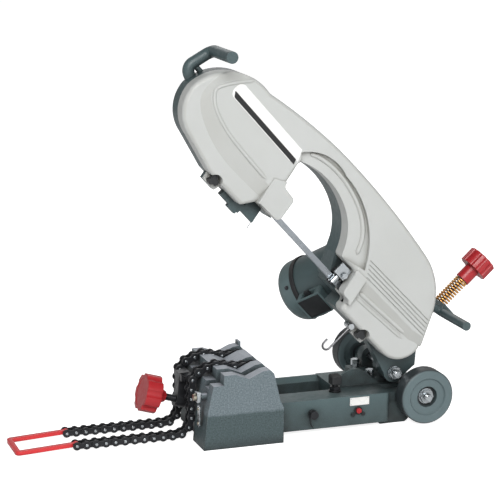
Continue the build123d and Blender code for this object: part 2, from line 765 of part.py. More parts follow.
def stop_bumper():
    """Rubber head of the down stop."""
    low = STOP_TOP - STOP_RUBBER_H
    half = STOP_RUBBER / 2
    head = block(STOP_X - half, STOP_X + half, STOP_Y - half, STOP_Y + half, low, STOP_TOP)
    head = fillet(head.edges().filter_by(Axis.Z), 3)
    head = chamfer(head.faces().sort_by(Axis.Z)[-1].edges(), 2)
    return head - rod_z(STUD_R + PRESS_GAP, low - 1, STOP_TOP - 6, STOP_X, STOP_Y)


def reset_button():
    """Red overload button with its stem."""
    return rod_y(BUTTON_R, FRONT_Y - 5, FRONT_Y + 3, BUTTON_X, BUTTON_Z)


def button_bezel():
    """Ring round the overload button."""
    return ring_y(BUTTON_R + 2.2, BUTTON_R + PART_GAP, FRONT_Y - 2.5, FRONT_Y, BUTTON_X, BUTTON_Z)


def button_screw_places():
    """Two screws under the overload button."""
    return [(BUTTON_X - 9, BUTTON_Z - 6.5), (BUTTON_X + 9, BUTTON_Z - 6.5)]


def button_screws():
    """Round-headed black screws that hold the button's switch inside the rail."""
    return group([
        rod_y(3.2, FRONT_Y - 2, FRONT_Y, x, z) + rod_y(1.55, FRONT_Y - 1, FRONT_Y + BASE_WALL, x, z)
        for x, z in button_screw_places()])


def lock_peg():
    """Headed peg on the front rail for the carrying hook."""
    peg = rod_y(PEG_R, FRONT_Y - 10, FRONT_Y + BASE_WALL, PEG_X, PEG_Z)
    peg += rod_y(PEG_R + 3, FRONT_Y - 12, FRONT_Y - 9, PEG_X, PEG_Z)
    return peg + rod_y(PEG_R + 3, FRONT_Y - 2, FRONT_Y, PEG_X, PEG_Z)


# Saw arm, drawn with the blade level

def throat_curve():
    """Curved inner edge of the arm between the two guards."""
    return [
        ThreePointArc((-403, 113), (-344, 128), (-281, 113)),
        ThreePointArc((-281, 113), (-256, 93), (-236, 60)),
    ]


def arm_outline(guide_end):
    """Outline of the cover or the frame as flat (u, v) edges; they differ only at the lower guide."""
    tip, heel = guide_end
    return make_face([
        Line((-358, 22), (-365, 65)), Line((-365, 65), (-393, 67)), Line((-393, 67), (-403, 113)),
        *throat_curve(), Line((-236, 60), tip), Line(tip, heel), Line(heel, (-172, 20)),
        Line((-172, 20), (-172, 1)), Line((-172, 1), (-60, 3)), ThreePointArc((-60, 3), (-28, 18), (-19, 52)),
        Line((-19, 52), (-46, 104)), ThreePointArc((-46, 104), (-78, 142), (-128, 163)),
        ThreePointArc((-128, 163), (-240, 173), (-368, 173)),
        ThreePointArc((-368, 173), (-440, 165), (-517, 150)),
        ThreePointArc((-517, 150), (-592, 122), (-613, 70)), ThreePointArc((-613, 70), (-598, 34), (-560, 13)),
        Line((-560, 13), (-496, -2)), Line((-496, -2), (-420, -2)), Line((-420, -2), (-404, 21)),
        Line((-404, 21), (-358, 22)),
    ])


def cover_outline(inset):
    """Cover outline with rounded corners, stepped back from the lower guide and moved in by inset."""
    outline = arm_outline(((-201, 60), (-193, 20)))
    if inset:
        outline = offset(outline, -inset, kind=Kind.INTERSECTION)
    return fillet(outline.vertices(), COVER_ROUND + 1 - inset)


def frame_outline():
    """Frame outline, slanted behind the lower guide."""
    return arm_outline(((-222, 40), (-209, 20)))


def lip_region():
    """Band round the throat where the cover steps back."""
    return make_face([
        *throat_curve(), Line((-236, 60), (-192, 72)),
        ThreePointArc((-192, 72), (-240, 124), (-330, 152)), ThreePointArc((-330, 152), (-384, 148), (-413, 124)),
        Line((-413, 124), (-403, 113)),
    ])


def pillow_edge(bend, low, far):
    """Closed outline round the cover's raised middle; its right and top sides lie outside the cover."""
    start = Vector(*bend[0])
    return make_face([
        Spline(*bend), Line(bend[-1], low[0]), Line(low[0], low[1]), Line(low[1], low[2]), Line(low[2], far[0]),
        Line(far[0], far[1]), Line(far[1], far[2]), Line(far[2], start),
    ])


def pillow_top():
    """Outline of the raised middle where it is level."""
    bend = [(-548, 150), (-573, 124), (-587, 101), (-588, 86), (-565, 67), (-523, 56), (-421, 51)]
    return pillow_edge(bend, [(-173, 61), (-56, 64), (-36, 68)], [(0, 66), (0, 260), (-548, 260)])


def pillow_foot():
    """Outline of the raised middle where its slope meets the rim."""
    bend = [(-566, 160), (-588, 126), (-597, 96), (-594, 72), (-557, 43), (-514, 30), (-412, 29)]
    return pillow_edge(bend, [(-167, 44), (-46, 49), (-32, 54)], [(0, 58), (0, 270), (-566, 270)])


def cover_pillow():
    """Raised middle of the cover, with sloped sides."""
    level = [COVER_FRONT, COVER_FRONT + LIP_DEPTH, COVER_FRONT + 2 * LIP_DEPTH]
    foot = pillow_foot()
    wires = [Rot(90, 0, 0) * (Pos(0, 0, -y) * face) for y, face in zip(level, (pillow_top(), foot))]
    return loft(wires, ruled=True) + slab(foot, level[1], level[2])


def guard_faces():
    """Outlines of the two boxes that stand proud over the blade guides."""
    upper = polygon([(-404, 15), (-350, 15), (-358, 75), (-398, 75), (-416, 65)])
    lower = polygon([(-210, 15), (-168, 15), (-178, 65), (-202, 65)])
    return upper & cover_outline(0), lower & cover_outline(0)


def cover_body():
    """Outside of the cover: rounded rim, raised middle and guide boxes, still solid."""
    outline = cover_outline(0)
    layers = []
    for front in (COVER_FRONT, COVER_FRONT + LIP_DEPTH):
        layer = slab(outline, front, FRAME_FRONT)
        layers.append(fillet(layer.faces().sort_by(Axis.Y)[0].edges(), COVER_ROUND))
    body = layers[1] + (layers[0] & cover_pillow())
    for face in guard_faces():
        guard = slab(face, COVER_FRONT - GUARD_RISE, FRAME_FRONT)
        body += fillet(guard.faces().sort_by(Axis.Y)[0].edges(), GUARD_ROUND)
    return body


def cover_grooves():
    """Fine parallel grooves over the lower wheel."""
    cuts = []
    for index in range(GROOVES):
        u0, v0 = GROOVE_FROM[0] + GROOVE_LEAN[0] * index, GROOVE_FROM[1] - GROOVE_PITCH * index
        u1, v1 = GROOVE_TO[0] + GROOVE_LEAN[1] * index, GROOVE_TO[1] - GROOVE_PITCH * index
        face = polygon([(u0, v0), (u1, v1), (u1, v1 + GROOVE_W), (u0, v0 + GROOVE_W)])
        cuts.append(slab(face, COVER_FRONT - 1, COVER_FRONT + GROOVE_DEPTH))
    return cuts


def screw_tab(place):
    """Flat tab of the cover under a hand screw."""
    u, v = place
    return make_face(Polyline((u - 15, v + 10), (u - 11, v - 9), (u + 15, v - 9), (u + 19, v + 10), close=True))


def wheel_cover():
    """Moulded cover: a rounded shell over both band wheels, open at the back."""
    solid = cover_body()
    inner = cover_outline(COVER_WALL)
    lip = lip_region()
    deep = (inner & pillow_top()) - offset(lip, COVER_WALL)
    shell = solid - slab(deep, COVER_FRONT + COVER_WALL, FRAME_FRONT + 1)
    shell -= slab(inner, COVER_FRONT + LIP_DEPTH + COVER_WALL, FRAME_FRONT + 1)
    shell -= slab(lip, COVER_FRONT - 1, COVER_FRONT + LIP_DEPTH)
    for cut in cover_grooves():
        shell -= cut
    for place in (UPPER_SCREW, LOWER_SCREW):
        shell += solid & rod_y(SCREW_WELL_R + COVER_WALL, COVER_FRONT, FRAME_FRONT, *place)
        shell += slab(screw_tab(place), FRAME_FRONT - TAB_T, FRAME_FRONT) - slab(inner, -50, 50)
        shell -= rod_y(SCREW_WELL_R, COVER_FRONT - 1, FRAME_FRONT - TAB_T, *place)
        shell -= rod_y(SCREW_SHANK_R + 2 * RUN_GAP, -50, 50, *place)
    half = BLADE_W / 2 + 3
    low = BAND_V - BAND_R - half - 8
    shell -= block(-425, -340, -half, half, low, low + 2 * half + 10)
    return shell - block(-240, -165, -half, half, low, low + 2 * half + 10)


def arm_frame():
    """Ribbed casting: rim wall, web, pivot lug, bosses and screw ears."""
    outline = frame_outline()
    frame = slab(outline, FRAME_FRONT, FRAME_BACK)
    inner = offset(outline, -FRAME_WALL)
    frame -= slab(inner, FRAME_FRONT - 1, WEB_FRONT)
    frame -= slab(inner, WEB_FRONT + WEB_T, FRAME_BACK + 1)
    frame += rib_lattice(inner)
    frame += rod_y(BEARING_R + 6, WEB_FRONT + 1, FRAME_BACK, DRIVE_U, BAND_V)
    frame += rod_y(COUNTER_R + 9, WEB_FRONT + 1, FRAME_BACK, COUNTER_U, COUNTER_V)
    frame -= slide_room()
    frame += tension_lug()
    frame += pivot_lug()
    for place in (UPPER_SCREW, LOWER_SCREW):
        frame += slab(screw_tab(place), FRAME_FRONT, FRAME_FRONT + EAR_T)
    for y0, y1 in bearing_spans():
        frame -= rod_y(BEARING_R + PRESS_GAP, y0, y1, DRIVE_U, BAND_V)
    frame -= rod_y(DRIVE_SHAFT_R + 2, 0, FRAME_BACK + 1, DRIVE_U, BAND_V)
    frame -= rod_y(COUNTER_R + RUN_GAP, WEB_FRONT + 4, FRAME_BACK + 1, COUNTER_U, COUNTER_V)
    frame -= slab(stop_notch(), FRAME_FRONT + EAR_T + 1, FRAME_BACK + 1)
    for place in (UPPER_SCREW, LOWER_SCREW):
        frame -= rod_y(SCREW_SHANK_R + RUN_GAP, 0, FRAME_FRONT + EAR_T + 1, *place)
    frame -= block(-700, -404, UPPER_BACK, FRAME_BACK + 1, -50, 250)
    return frame - roller_notch()


def slide_room():
    """Room in the web and ribs for the tension slide, its key and its screw head."""
    back = WEB_FRONT + WEB_T
    left = IDLER_U - SLIDE_L / 2 - 1
    right = IDLER_U + TENSION_LUG - TENSION_LUG_T
    half = SLIDE_W / 2 + 1
    room = block(left, right, back, FRAME_BACK + 1, BAND_V - half, BAND_V + half)
    room += block(right, right + 44, back, FRAME_BACK + 1, BAND_V - TENSION_DROP - 12, BAND_V - TENSION_DROP + 12)
    return room + block(IDLER_U - KEY_L / 2 - 1, IDLER_U + KEY_L / 2 + SLIDE_TRAVEL + 1, WEB_FRONT - 1, back + 1,
                        BAND_V - KEY_W / 2, BAND_V + KEY_W / 2)


def tension_lug():
    """Lug that takes the push of the tension screw."""
    back = WEB_FRONT + WEB_T
    u = IDLER_U + TENSION_LUG
    v = BAND_V - TENSION_DROP
    lug = block(u - TENSION_LUG_T, u, back - 1, back + SLIDE_T + 4, v - 12, v + 12)
    return lug - rod_x(TENSION_R + PART_GAP, u - 20, u + 20, back + SLIDE_T / 2, v)


def roller_notch():
    """Notch in the rim beside the back guide roller."""
    u = LOWER_GUIDE_U
    return block(u - 7, u + 7, FRAME_FRONT - 1, WEB_FRONT, 10, BAND_V - BAND_R + GUIDE_ROLLER_H / 2 + 1)


def rib_lattice(inner):
    """Cross ribs on the back of the web."""
    ribs = None
    for u in range(-590, -20, 62):
        rib = slab(polygon([(u, -20), (u + 4, -20), (u + 34, 180), (u + 30, 180)]), WEB_FRONT + WEB_T - 1, FRAME_BACK)
        ribs = rib if ribs is None else ribs + rib
    return ribs & slab(inner, 0, FRAME_BACK + 1)


def pivot_lug():
    """Arm end that reaches down to the pivot."""
    face = make_face([
        Line((-84, 4), (-46, -4)), Line((-46, -4), (-12, -14)), ThreePointArc((-12, -14), (14, -10), (16, 8)),
        Line((16, 8), (18, 34)), Line((18, 34), (-8, 62)), Line((-8, 62), (-84, 62)), Line((-84, 62), (-84, 4)),
    ])
    lug = slab(face, *ARM_LUG) + rod_y(PIVOT_BOSS_R, *ARM_LUG, 0, 0)
    return lug - rod_y(PIVOT_R + RUN_GAP, 0, 60, 0, 0)


def stop_notch():
    """Flat-topped notch that lands on the down stop."""
    u = STOP_X - PIVOT_X
    half = STOP_RUBBER / 2 + 4
    top = STOP_TOP - PIVOT_Z + PART_GAP
    return polygon([(u - half, -30), (u - half, top), (u + half, top), (u + half, -30)])


def bearing_spans():
    """Y spans of the two drive shaft bearings."""
    return (WEB_FRONT + 3, WEB_FRONT + 15), (FRAME_BACK - 14, FRAME_BACK - 2)


def tension_slide():
    """Slide behind the web that carries the idler axle, keyed into the web."""
    back = WEB_FRONT + WEB_T
    half = SLIDE_W / 2
    slide = block(IDLER_U - SLIDE_L / 2, IDLER_U + SLIDE_L / 2, back + 2 * RUN_GAP, back + SLIDE_T,
                  BAND_V - half, BAND_V + half)
    slide += block(IDLER_U - KEY_L / 2, IDLER_U + KEY_L / 2, WEB_FRONT, back + 1,
                   BAND_V - KEY_W / 2 + 2 * RUN_GAP, BAND_V + KEY_W / 2 - 2 * RUN_GAP)
    slide -= rod_y(IDLER_AXLE_R + PRESS_GAP, WEB_FRONT - 1, back + SLIDE_T + 1, IDLER_U, BAND_V)
    return slide - rod_x(TENSION_R + RUN_GAP, IDLER_U - SLIDE_L / 2 + 8, IDLER_U + SLIDE_L, back + SLIDE_T / 2,
                         BAND_V - TENSION_DROP)


def tension_screw():
    """Screw that moves the tension slide, with its hexagon head against the lug."""
    y = WEB_FRONT + WEB_T + SLIDE_T / 2
    v = BAND_V - TENSION_DROP
    end = IDLER_U + TENSION_LUG + PART_GAP
    screw = rod_x(TENSION_R, IDLER_U - SLIDE_L / 2 + 8 + SLIDE_TRAVEL + 2, end + 1, y, v)
    return screw + Pos(end, y, v) * Rot(0, 90, 0) * extrude(RegularPolygon(TENSION_HEAD / 2, 6, major_radius=False), 6)


def idler_axle():
    """Fixed axle of the upper band wheel."""
    axle = rod_y(IDLER_AXLE_R, -BAND_WHEEL_W / 2 - 2, WEB_FRONT + WEB_T + 11, IDLER_U, BAND_V)
    return axle + rod_y(IDLER_AXLE_R + 3, -BAND_WHEEL_W / 2 - 6, -BAND_WHEEL_W / 2 - 2, IDLER_U, BAND_V)


def band_wheel(bore, u):
    """Cast band wheel with a rim, a dished web and lightening holes."""
    half = BAND_WHEEL_W / 2
    rim = BAND_R - PART_GAP - TYRE_T
    hub = IDLER_BEARING_R + 4
    section = polygon([
        (bore, -half + 1), (hub, -half + 1), (hub, -3), (rim - 6, -2), (rim - 6, -half), (rim, -half),
        (rim, half), (rim - 6, half), (rim - 6, 4), (hub, 3), (hub, half - 1), (bore, half - 1),
    ])
    wheel = revolve(section, Axis.Y)
    reach = (hub + rim - 6) / 2
    for index in range(4):
        wheel -= Rot(0, 90 * index, 0) * rod_y((rim - 6 - hub) * 0.3, -half, half, reach, 0)
    return Pos(u, 0, BAND_V) * wheel


def band_tyre(u):
    """Rubber tyre on a band wheel."""
    outer = BAND_R - PART_GAP
    return ring_y(outer, outer - TYRE_T + PRESS_GAP, -6, 6, u, BAND_V)


def idler_bearings():
    """Two ball bearings in the idler's hub, as rings."""
    inner = IDLER_AXLE_R + RUN_GAP
    return group([ring_y(IDLER_BEARING_R, inner, y0, y0 + 6.5, IDLER_U, BAND_V) for y0 in (-7.0, 0.5)])


def drive_shaft():
    """Shaft of the lower band wheel, with a collar in front."""
    shaft = rod_y(DRIVE_SHAFT_R, -BAND_WHEEL_W / 2 - 1, DRIVE_GEAR_Y[1] + 6, DRIVE_U, BAND_V)
    return shaft + rod_y(DRIVE_SHAFT_R + 5, -BAND_WHEEL_W / 2 - 6, -BAND_WHEEL_W / 2 + 1 - 0.1, DRIVE_U, BAND_V)


def shaft_bearings():
    """Bearings of the drive shaft, as rings."""
    return group([
        ring_y(BEARING_R, DRIVE_SHAFT_R + RUN_GAP, y0, y1, DRIVE_U, BAND_V) for y0, y1 in bearing_spans()])


def toothed(radius, teeth, module, turn):
    """Flat toothed outline: straight flanks with backlash, one tooth centred at the turn angle."""
    step = 2 * pi / teeth
    points = []
    for index in range(teeth):
        middle = radians(turn) + index * step
        for share, grow in ((-0.30, -1.1), (-0.11, 0.75), (0.11, 0.75), (0.30, -1.1)):
            angle = middle + share * step
            reach = radius + grow * module
            points.append((reach * cos(angle), reach * sin(angle)))
    return polygon(points)


def spur_module():
    """Module that fits both spur gears to their shafts' distance."""
    reach = hypot(COUNTER_U - DRIVE_U, COUNTER_V - BAND_V)
    return 2 * reach / (DRIVE_TEETH + PINION_TEETH)


def mesh_angle():
    """Direction from the drive shaft to the countershaft, in degrees."""
    return degrees(atan2(COUNTER_V - BAND_V, COUNTER_U - DRIVE_U))


def drive_gear():
    """Large spur gear on the drive shaft, a space facing the countershaft."""
    module = spur_module()
    turn = mesh_angle() + 180 / DRIVE_TEETH
    face = toothed(module * DRIVE_TEETH / 2, DRIVE_TEETH, module, turn) - Circle(DRIVE_SHAFT_R + PRESS_GAP)
    return Pos(DRIVE_U, 0, BAND_V) * slab(face, *DRIVE_GEAR_Y)


def bevel_angles():
    """Pitch cone angles of the bevel gear and of its pinion."""
    shaft = radians(MOTOR_TILT)
    gear = degrees(atan2(sin(shaft), BEVEL_PINION_TEETH / BEVEL_TEETH + cos(shaft)))
    return gear, MOTOR_TILT - gear


def bevel(teeth, cone, turn):
    """Toothed cone about +Z with its apex at the origin."""
    sections = []
    for reach in (CONE_OUTER - CONE_FACE, CONE_OUTER):
        radius = reach * sin(radians(cone))
        face = toothed(radius, teeth, 2 * radius / teeth, turn)
        sections.append(Pos(0, 0, reach * cos(radians(cone))) * face)
    return loft(sections, ruled=True)


def countershaft():
    """Reduction shaft with its spur pinion and bevel gear."""
    module = spur_module()
    pinion = slab(toothed(module * PINION_TEETH / 2, PINION_TEETH, module, mesh_angle() + 180), *DRIVE_GEAR_Y)
    gear_cone, _ = bevel_angles()
    gear = Pos(0, APEX_Y, 0) * Rot(-90, 0, 0) * bevel(BEVEL_TEETH, gear_cone, 90 + 180 / BEVEL_TEETH)
    end = APEX_Y + CONE_OUTER * cos(radians(gear_cone)) + 7
    shaft = rod_y(COUNTER_R, WEB_FRONT + 6, end, 0, 0)
    return Pos(COUNTER_U, 0, COUNTER_V) * (shaft + pinion + gear)


def on_motor(shape):
    """Places a shape drawn along Z on the motor's line, from the bevel apex."""
    return Pos(COUNTER_U, APEX_Y, COUNTER_V) * Rot(MOTOR_TILT - 180, 0, 0) * shape


def motor_tube(radius, start, end):
    """A round bar on the motor's line."""
    return on_motor(Pos(0, 0, (start + end) / 2) * Cylinder(radius, end - start))


def armature():
    """Motor rotor with its shaft and bevel pinion."""
    _, pinion_cone = bevel_angles()
    pinion = on_motor(bevel(BEVEL_PINION_TEETH, pinion_cone, 90))
    shaft = motor_tube(6, CONE_OUTER - 2, MOTOR_END - 8)
    return pinion + shaft + motor_tube(ROTOR_R, MOTOR_FROM + 22, MOTOR_SEAM - 12)


def gear_case_side(grow):
    """Side outline of the gear case as (y, v), moved in by grow."""
    axis_y = APEX_Y + MOTOR_FROM * sin(radians(MOTOR_TILT))
    axis_v = COUNTER_V - MOTOR_FROM * cos(radians(MOTOR_TILT))
    reach = (MOTOR_R + 2) * cos(radians(MOTOR_TILT))
    face = polygon([
        (FRAME_BACK, axis_v - reach), (axis_y - reach, axis_v - reach), (axis_y + reach, axis_v + reach),
        (axis_y + reach - 16, CASE_TOP), (FRAME_BACK, CASE_TOP),
    ])
    return offset(face, -grow) if grow else face


def gear_case():
    """Cast case behind the frame for the reduction gears, with a slanted motor flange."""
    case = across(gear_case_side(0), CASE_LEFT, CASE_RIGHT)
    case = fillet(case.edges().filter_by(Axis.Y).group_by(Axis.Z)[-1], 14)
    case -= across(gear_case_side(CASE_WALL), CASE_LEFT + CASE_WALL, CASE_RIGHT - CASE_WALL)
    case -= rod_y(DRIVE_SHAFT_R + 1, FRAME_BACK - 1, FRAME_BACK + 8, DRIVE_U, BAND_V)
    case -= rod_y(COUNTER_R + 1, FRAME_BACK - 1, FRAME_BACK + 8, COUNTER_U, COUNTER_V)
    return case - motor_tube(16, MOTOR_FROM - 12, MOTOR_FROM + 1)


def motor_housing():
    """Motor body with a front plate for the rotor's bearing."""
    body = motor_tube(MOTOR_R, MOTOR_FROM, MOTOR_SEAM)
    body -= motor_tube(MOTOR_R - MOTOR_WALL, MOTOR_FROM + 8, MOTOR_SEAM + 1)
    return body - motor_tube(6 + RUN_GAP, MOTOR_FROM - 1, MOTOR_FROM + 9)


def motor_stator():
    """Wound stator ring inside the motor body."""
    ring = motor_tube(MOTOR_R - MOTOR_WALL - PRESS_GAP, MOTOR_FROM + 22, MOTOR_SEAM - 12)
    return ring - motor_tube(ROTOR_R + 0.5, MOTOR_FROM + 21, MOTOR_SEAM - 11)


def motor_end_cap():
    """Domed end cap with the rear bearing seat."""
    length = MOTOR_END - MOTOR_SEAM
    cap = motor_tube(MOTOR_R + 1.5, MOTOR_SEAM + 0.5, MOTOR_END)
    rim = cap.edges().filter_by(GeomType.CIRCLE).sort_by(Axis.Y)
    cap = fillet(rim[-1], length * 0.55)
    cap -= motor_tube(MOTOR_R - MOTOR_WALL, MOTOR_SEAM, MOTOR_END - 16)
    return cap - motor_tube(6 + RUN_GAP, MOTOR_SEAM, MOTOR_END - 7)


def on_switch(shape):
    """Places a shape at the switch lever's pivot, on the motor's own line."""
    return Pos(-17, MOTOR_R + 6, MOTOR_FROM + 46) * shape


def switch_box():
    """Switch housing on the underside of the motor body."""
    box = Pos(0, MOTOR_R + 4, MOTOR_FROM + 46) * Box(44, 22, 52)
    box = fillet(box.edges().filter_by(Axis.Y), 5)
    box -= on_switch(Pos(-5, 0, 0) * Box(18, 12, 30))
    box -= on_switch(Cylinder(SWITCH_PIN_R + RUN_GAP, 37))
    return on_motor(box) - motor_tube(MOTOR_R, 0, 300)


def switch_lever():
    """Toggle lever of the switch."""
    lever = Pos(-5, 0, 0) * Box(12, 6, 9) + Cylinder(SWITCH_PIN_R, 36)
    return on_motor(on_switch(lever))


def blade():
    """Saw band: flat on the wheels, turned on edge between the guides."""
    outer = BAND_R + BLADE_T
    half = BLADE_W / 2
    ring = Circle(outer) - Circle(BAND_R)
    left = Pos(IDLER_U, BAND_V) * (ring & Pos(-outer, 0) * Rectangle(2 * outer, 3 * outer))
    right = Pos(DRIVE_U, BAND_V) * (ring & Pos(outer, 0) * Rectangle(2 * outer, 3 * outer))
    top = Pos((IDLER_U + DRIVE_U) / 2, BAND_V + BAND_R + BLADE_T / 2) * Rectangle(DRIVE_U - IDLER_U, BLADE_T)
    band = slab(left + top + right, -half, half)
    v = BAND_V - BAND_R - BLADE_T / 2
    upper = UPPER_GUIDE_U - 14
    lower = LOWER_GUIDE_U + 12
    band += twist(IDLER_U, upper, v, 0, 90) + twist(lower, DRIVE_U, v, 90, 0)
    return band + block(upper, lower, -BLADE_T / 2, BLADE_T / 2, v - half, v + half)


def twist(u0, u1, v, turn0, turn1):
    """A stretch of band that turns about its own length."""
    sections = []
    steps = 4
    for index in range(steps + 1):
        share = index / steps
        turn = turn0 + (turn1 - turn0) * share
        face = Rot(0, 90, 0) * Rot(0, 0, turn) * Rectangle(BLADE_T, BLADE_W)
        sections.append(Pos(u0 + (u1 - u0) * share, 0, v) * face)
    return loft(sections, ruled=True)


def roller_places(u):
    """Centres of the two rollers that pinch the blade."""
    reach = BLADE_T / 2 + GUIDE_ROLLER_R + RUN_GAP
    return [(u, -reach), (u, reach)]


def guide_body(u):
    """Guide bracket: a plate over the blade and a foot on the web."""
    top = BAND_V - BAND_R + GUIDE_ROLLER_H / 2 + 1
    body = block(u - 9, u + 9, -guide_reach(), FRAME_FRONT - 2 * RUN_GAP, top, top + GUIDE_PLATE_T)
    body = fillet(body.edges().filter_by(Axis.Z).group_by(Axis.Y)[0], 4)
    body += block(u - 2, u + 9, FRAME_FRONT - 2, WEB_FRONT, top + 1, top + 20)
    return body


def guide_reach():
    """How far a guide stands in front of the blade."""
    return BLADE_T / 2 + 2 * GUIDE_ROLLER_R + 2


def lower_guide():
    """Lower guide with two hanging pins for its rollers."""
    v = BAND_V - BAND_R
    low = v - GUIDE_ROLLER_H / 2
    body = guide_body(LOWER_GUIDE_U)
    for u, y in roller_places(LOWER_GUIDE_U):
        body += rod_z(GUIDE_PIN_R, low - 2, v + GUIDE_ROLLER_H / 2 + 2, u, y)
        body += rod_z(GUIDE_PIN_R + 1.5, low - 2.5, low - PART_GAP, u, y)
    return body


def upper_guide():
    """Upper guide with two fixed wear pads beside the blade."""
    v = BAND_V - BAND_R
    half = GUIDE_ROLLER_H / 2
    body = guide_body(UPPER_GUIDE_U)
    for side in (-1, 1):
        near = side * (BLADE_T / 2 + 2 * RUN_GAP)
        far = side * 7.0
        body += block(UPPER_GUIDE_U - 6, UPPER_GUIDE_U + 6, min(near, far), max(near, far), v - half, v + half + 2)
    return body


def guide_roller(place):
    """One hardened guide roller on its pin."""
    u, y = place
    v = BAND_V - BAND_R
    half = GUIDE_ROLLER_H / 2
    roller = rod_z(GUIDE_ROLLER_R, v - half, v + half, u, y)
    return roller - rod_z(GUIDE_PIN_R + RUN_GAP, v - half - 1, v + half + 1, u, y)


def guide_cover_plate():
    """Bright plate with its bolt in front of the lower guide."""
    u = LOWER_GUIDE_U
    v = BAND_V - BAND_R + GUIDE_ROLLER_H / 2 + 1
    reach = guide_reach()
    plate = block(u - 14, u + 8, -reach - 3, -reach, v, v + 20)
    return plate + hex_y(9, -reach - 8, -reach - 2, u + 3, v + 7)


def hand_screw(place):
    """Black three-lobed screw of the cover."""
    seat = FRAME_FRONT - TAB_T - PART_GAP
    head = slab(lobed(HAND_SCREW_R, 3, 3), seat - 12, seat)
    shank = rod_y(SCREW_SHANK_R, seat - 2, FRAME_FRONT + EAR_T - 1, 0, 0)
    return Pos(place[0], 0, place[1]) * (head + shank)


def lock_hook():
    """Wire hook that holds the lowered arm on the base peg."""
    u, v = HOOK_PIVOT
    start = (u, HOOK_Y, v - HOOK_PIN_R - 1)
    low = v - HOOK_LENGTH
    left = u - 2 * HOOK_BEND_R
    down = Line(start, (u, HOOK_Y, low))
    near = TangentArc(down @ 1, (u - HOOK_BEND_R, HOOK_Y, low - HOOK_BEND_R), tangent=(0, 0, -1))
    far = TangentArc(near @ 1, (left, HOOK_Y, low), tangent=(-1, 0, 0))
    wire = Wire([down, near, far, Line(far @ 1, (left, HOOK_Y, low + HOOK_TIP))])
    hook = sweep(Plane(start, z_dir=(0, 0, -1)) * RegularPolygon(HOOK_WIRE_R, 8), wire)
    eye = rod_y(5, HOOK_Y - HOOK_WIRE_R, HOOK_Y + HOOK_WIRE_R, u, v)
    return hook + eye - rod_y(HOOK_PIN_R + RUN_GAP, HOOK_Y - 5, HOOK_Y + 5, u, v)


def hook_pin():
    """Shoulder pin of the wire hook on the frame."""
    u, v = HOOK_PIVOT
    pin = rod_y(HOOK_PIN_R, HOOK_Y - HOOK_WIRE_R - 1, FRAME_FRONT, u, v)
    pin += rod_y(5, HOOK_Y - HOOK_WIRE_R - 2.5, HOOK_Y - HOOK_WIRE_R - PART_GAP, u, v)
    return pin + rod_y(5, HOOK_Y + HOOK_WIRE_R + PART_GAP, FRAME_FRONT, u, v)


def bent_bar(points, radius, bend):
    """A round bar along straight runs with rounded bends."""
    path = FilletPolyline(*points, radius=bend)
    return sweep(Plane(path @ 0, z_dir=path % 0) * Circle(radius), path)


def front_handle():
    """Cranked handle at the arm's upper end, seated on the frame's rim."""
    u, v = FRONT_GRIP
    y = FRAME_BACK - 20
    bar = bent_bar([(-596, y, 77), (u - 11, y, v - 48), (u, y, v), (u, GRIP_END, v)], GRIP_R, 14)
    bar += rod_x(GRIP_BRACE_R, u - 8, -570, y, v - 36)
    return bar - slab(frame_outline(), FRAME_FRONT, FRAME_BACK)


def rear_handle():
    """Cranked handle at the arm's lower end, with the lug that the load spring presses on."""
    u, v = REAR_GRIP
    y = FRAME_BACK + 12
    foot_plate = polygon([(-62, 78), (-36, 84), (-48, 106), (-62, 122)])
    handle = slab(foot_plate, FRAME_BACK, FRAME_BACK + 8)
    handle += bent_bar([(-53, y, 97), (-24, y, v - 6), (u, y, v), (u, REAR_GRIP_END, v)], REAR_GRIP_R, 12)
    handle += rod_y(REAR_GRIP_R, FRAME_BACK + 4, y, -53, 97)
    lug = block(ROD_U - 13, ROD_U + 13, y - 6, ROD_Y, SEAT_V - 12, SEAT_V)
    handle += lug + rod_z(13, SEAT_V - 12, SEAT_V, ROD_U, ROD_Y)
    reach = ROD_R + 0.5
    slot = block(ROD_U - ROD_SWAY, ROD_U + ROD_SWAY, ROD_Y - reach, ROD_Y + reach, 0, SEAT_V + 1)
    for side in (-ROD_SWAY, ROD_SWAY):
        slot += rod_z(reach, 0, SEAT_V + 1, ROD_U + side, ROD_Y)
    return handle - slot


def balance_rod():
    """Rod with an eye at its anchored end."""
    eye = rod_y(EYE_R, ROD_Y - 5, ROD_Y + 5, ROD_U, ANCHOR_W)
    eye += rod_z(ROD_R, ANCHOR_W, SEAT_V + SPRING_LENGTH + 40, ROD_U, ROD_Y)
    return eye - rod_y(EYE_PIN_R + RUN_GAP, ROD_Y - 6, ROD_Y + 6, ROD_U, ANCHOR_W)


def biarc(start, start_way, end, end_way):
    """Two arcs that join two points with the given directions."""
    span = end - start
    ways = start_way + end_way
    spread = 2 * (1 - start_way.dot(end_way))
    along = span.dot(ways)
    reach = (-along + (along ** 2 + spread * span.dot(span)) ** 0.5) / spread
    middle = (start + end + (start_way - end_way) * reach) * 0.5
    way = (end - end_way * reach) - (start + start_way * reach)
    return [TangentArc(start, middle, tangent=start_way), TangentArc(middle, end, tangent=way.normalized())]


def spring_points():
    """Places and directions along the load spring: straight ends and half turns between."""
    tail = 2 * SPRING_WIRE_R
    ease = SPRING_WIRE_R * 3
    rise = SPRING_LENGTH - 2 * tail - 2 * ease
    turn = 2 * pi * SPRING_EASE
    places = [(Vector(SPRING_R, 0, tail), Vector(0, 0, 1))]
    slope = rise / (2 * pi * SPRING_TURNS)
    for half in range(2 * SPRING_TURNS + 1):
        angle = turn + half * pi
        height = tail + ease + slope * half * pi
        way = Vector(-SPRING_R * sin(angle), SPRING_R * cos(angle), slope)
        places.append((Vector(SPRING_R * cos(angle), SPRING_R * sin(angle), height), way.normalized()))
    last = 2 * turn
    top = Vector(SPRING_R * cos(last), SPRING_R * sin(last), SPRING_LENGTH - tail)
    places.append((top, Vector(0, 0, 1)))
    return places


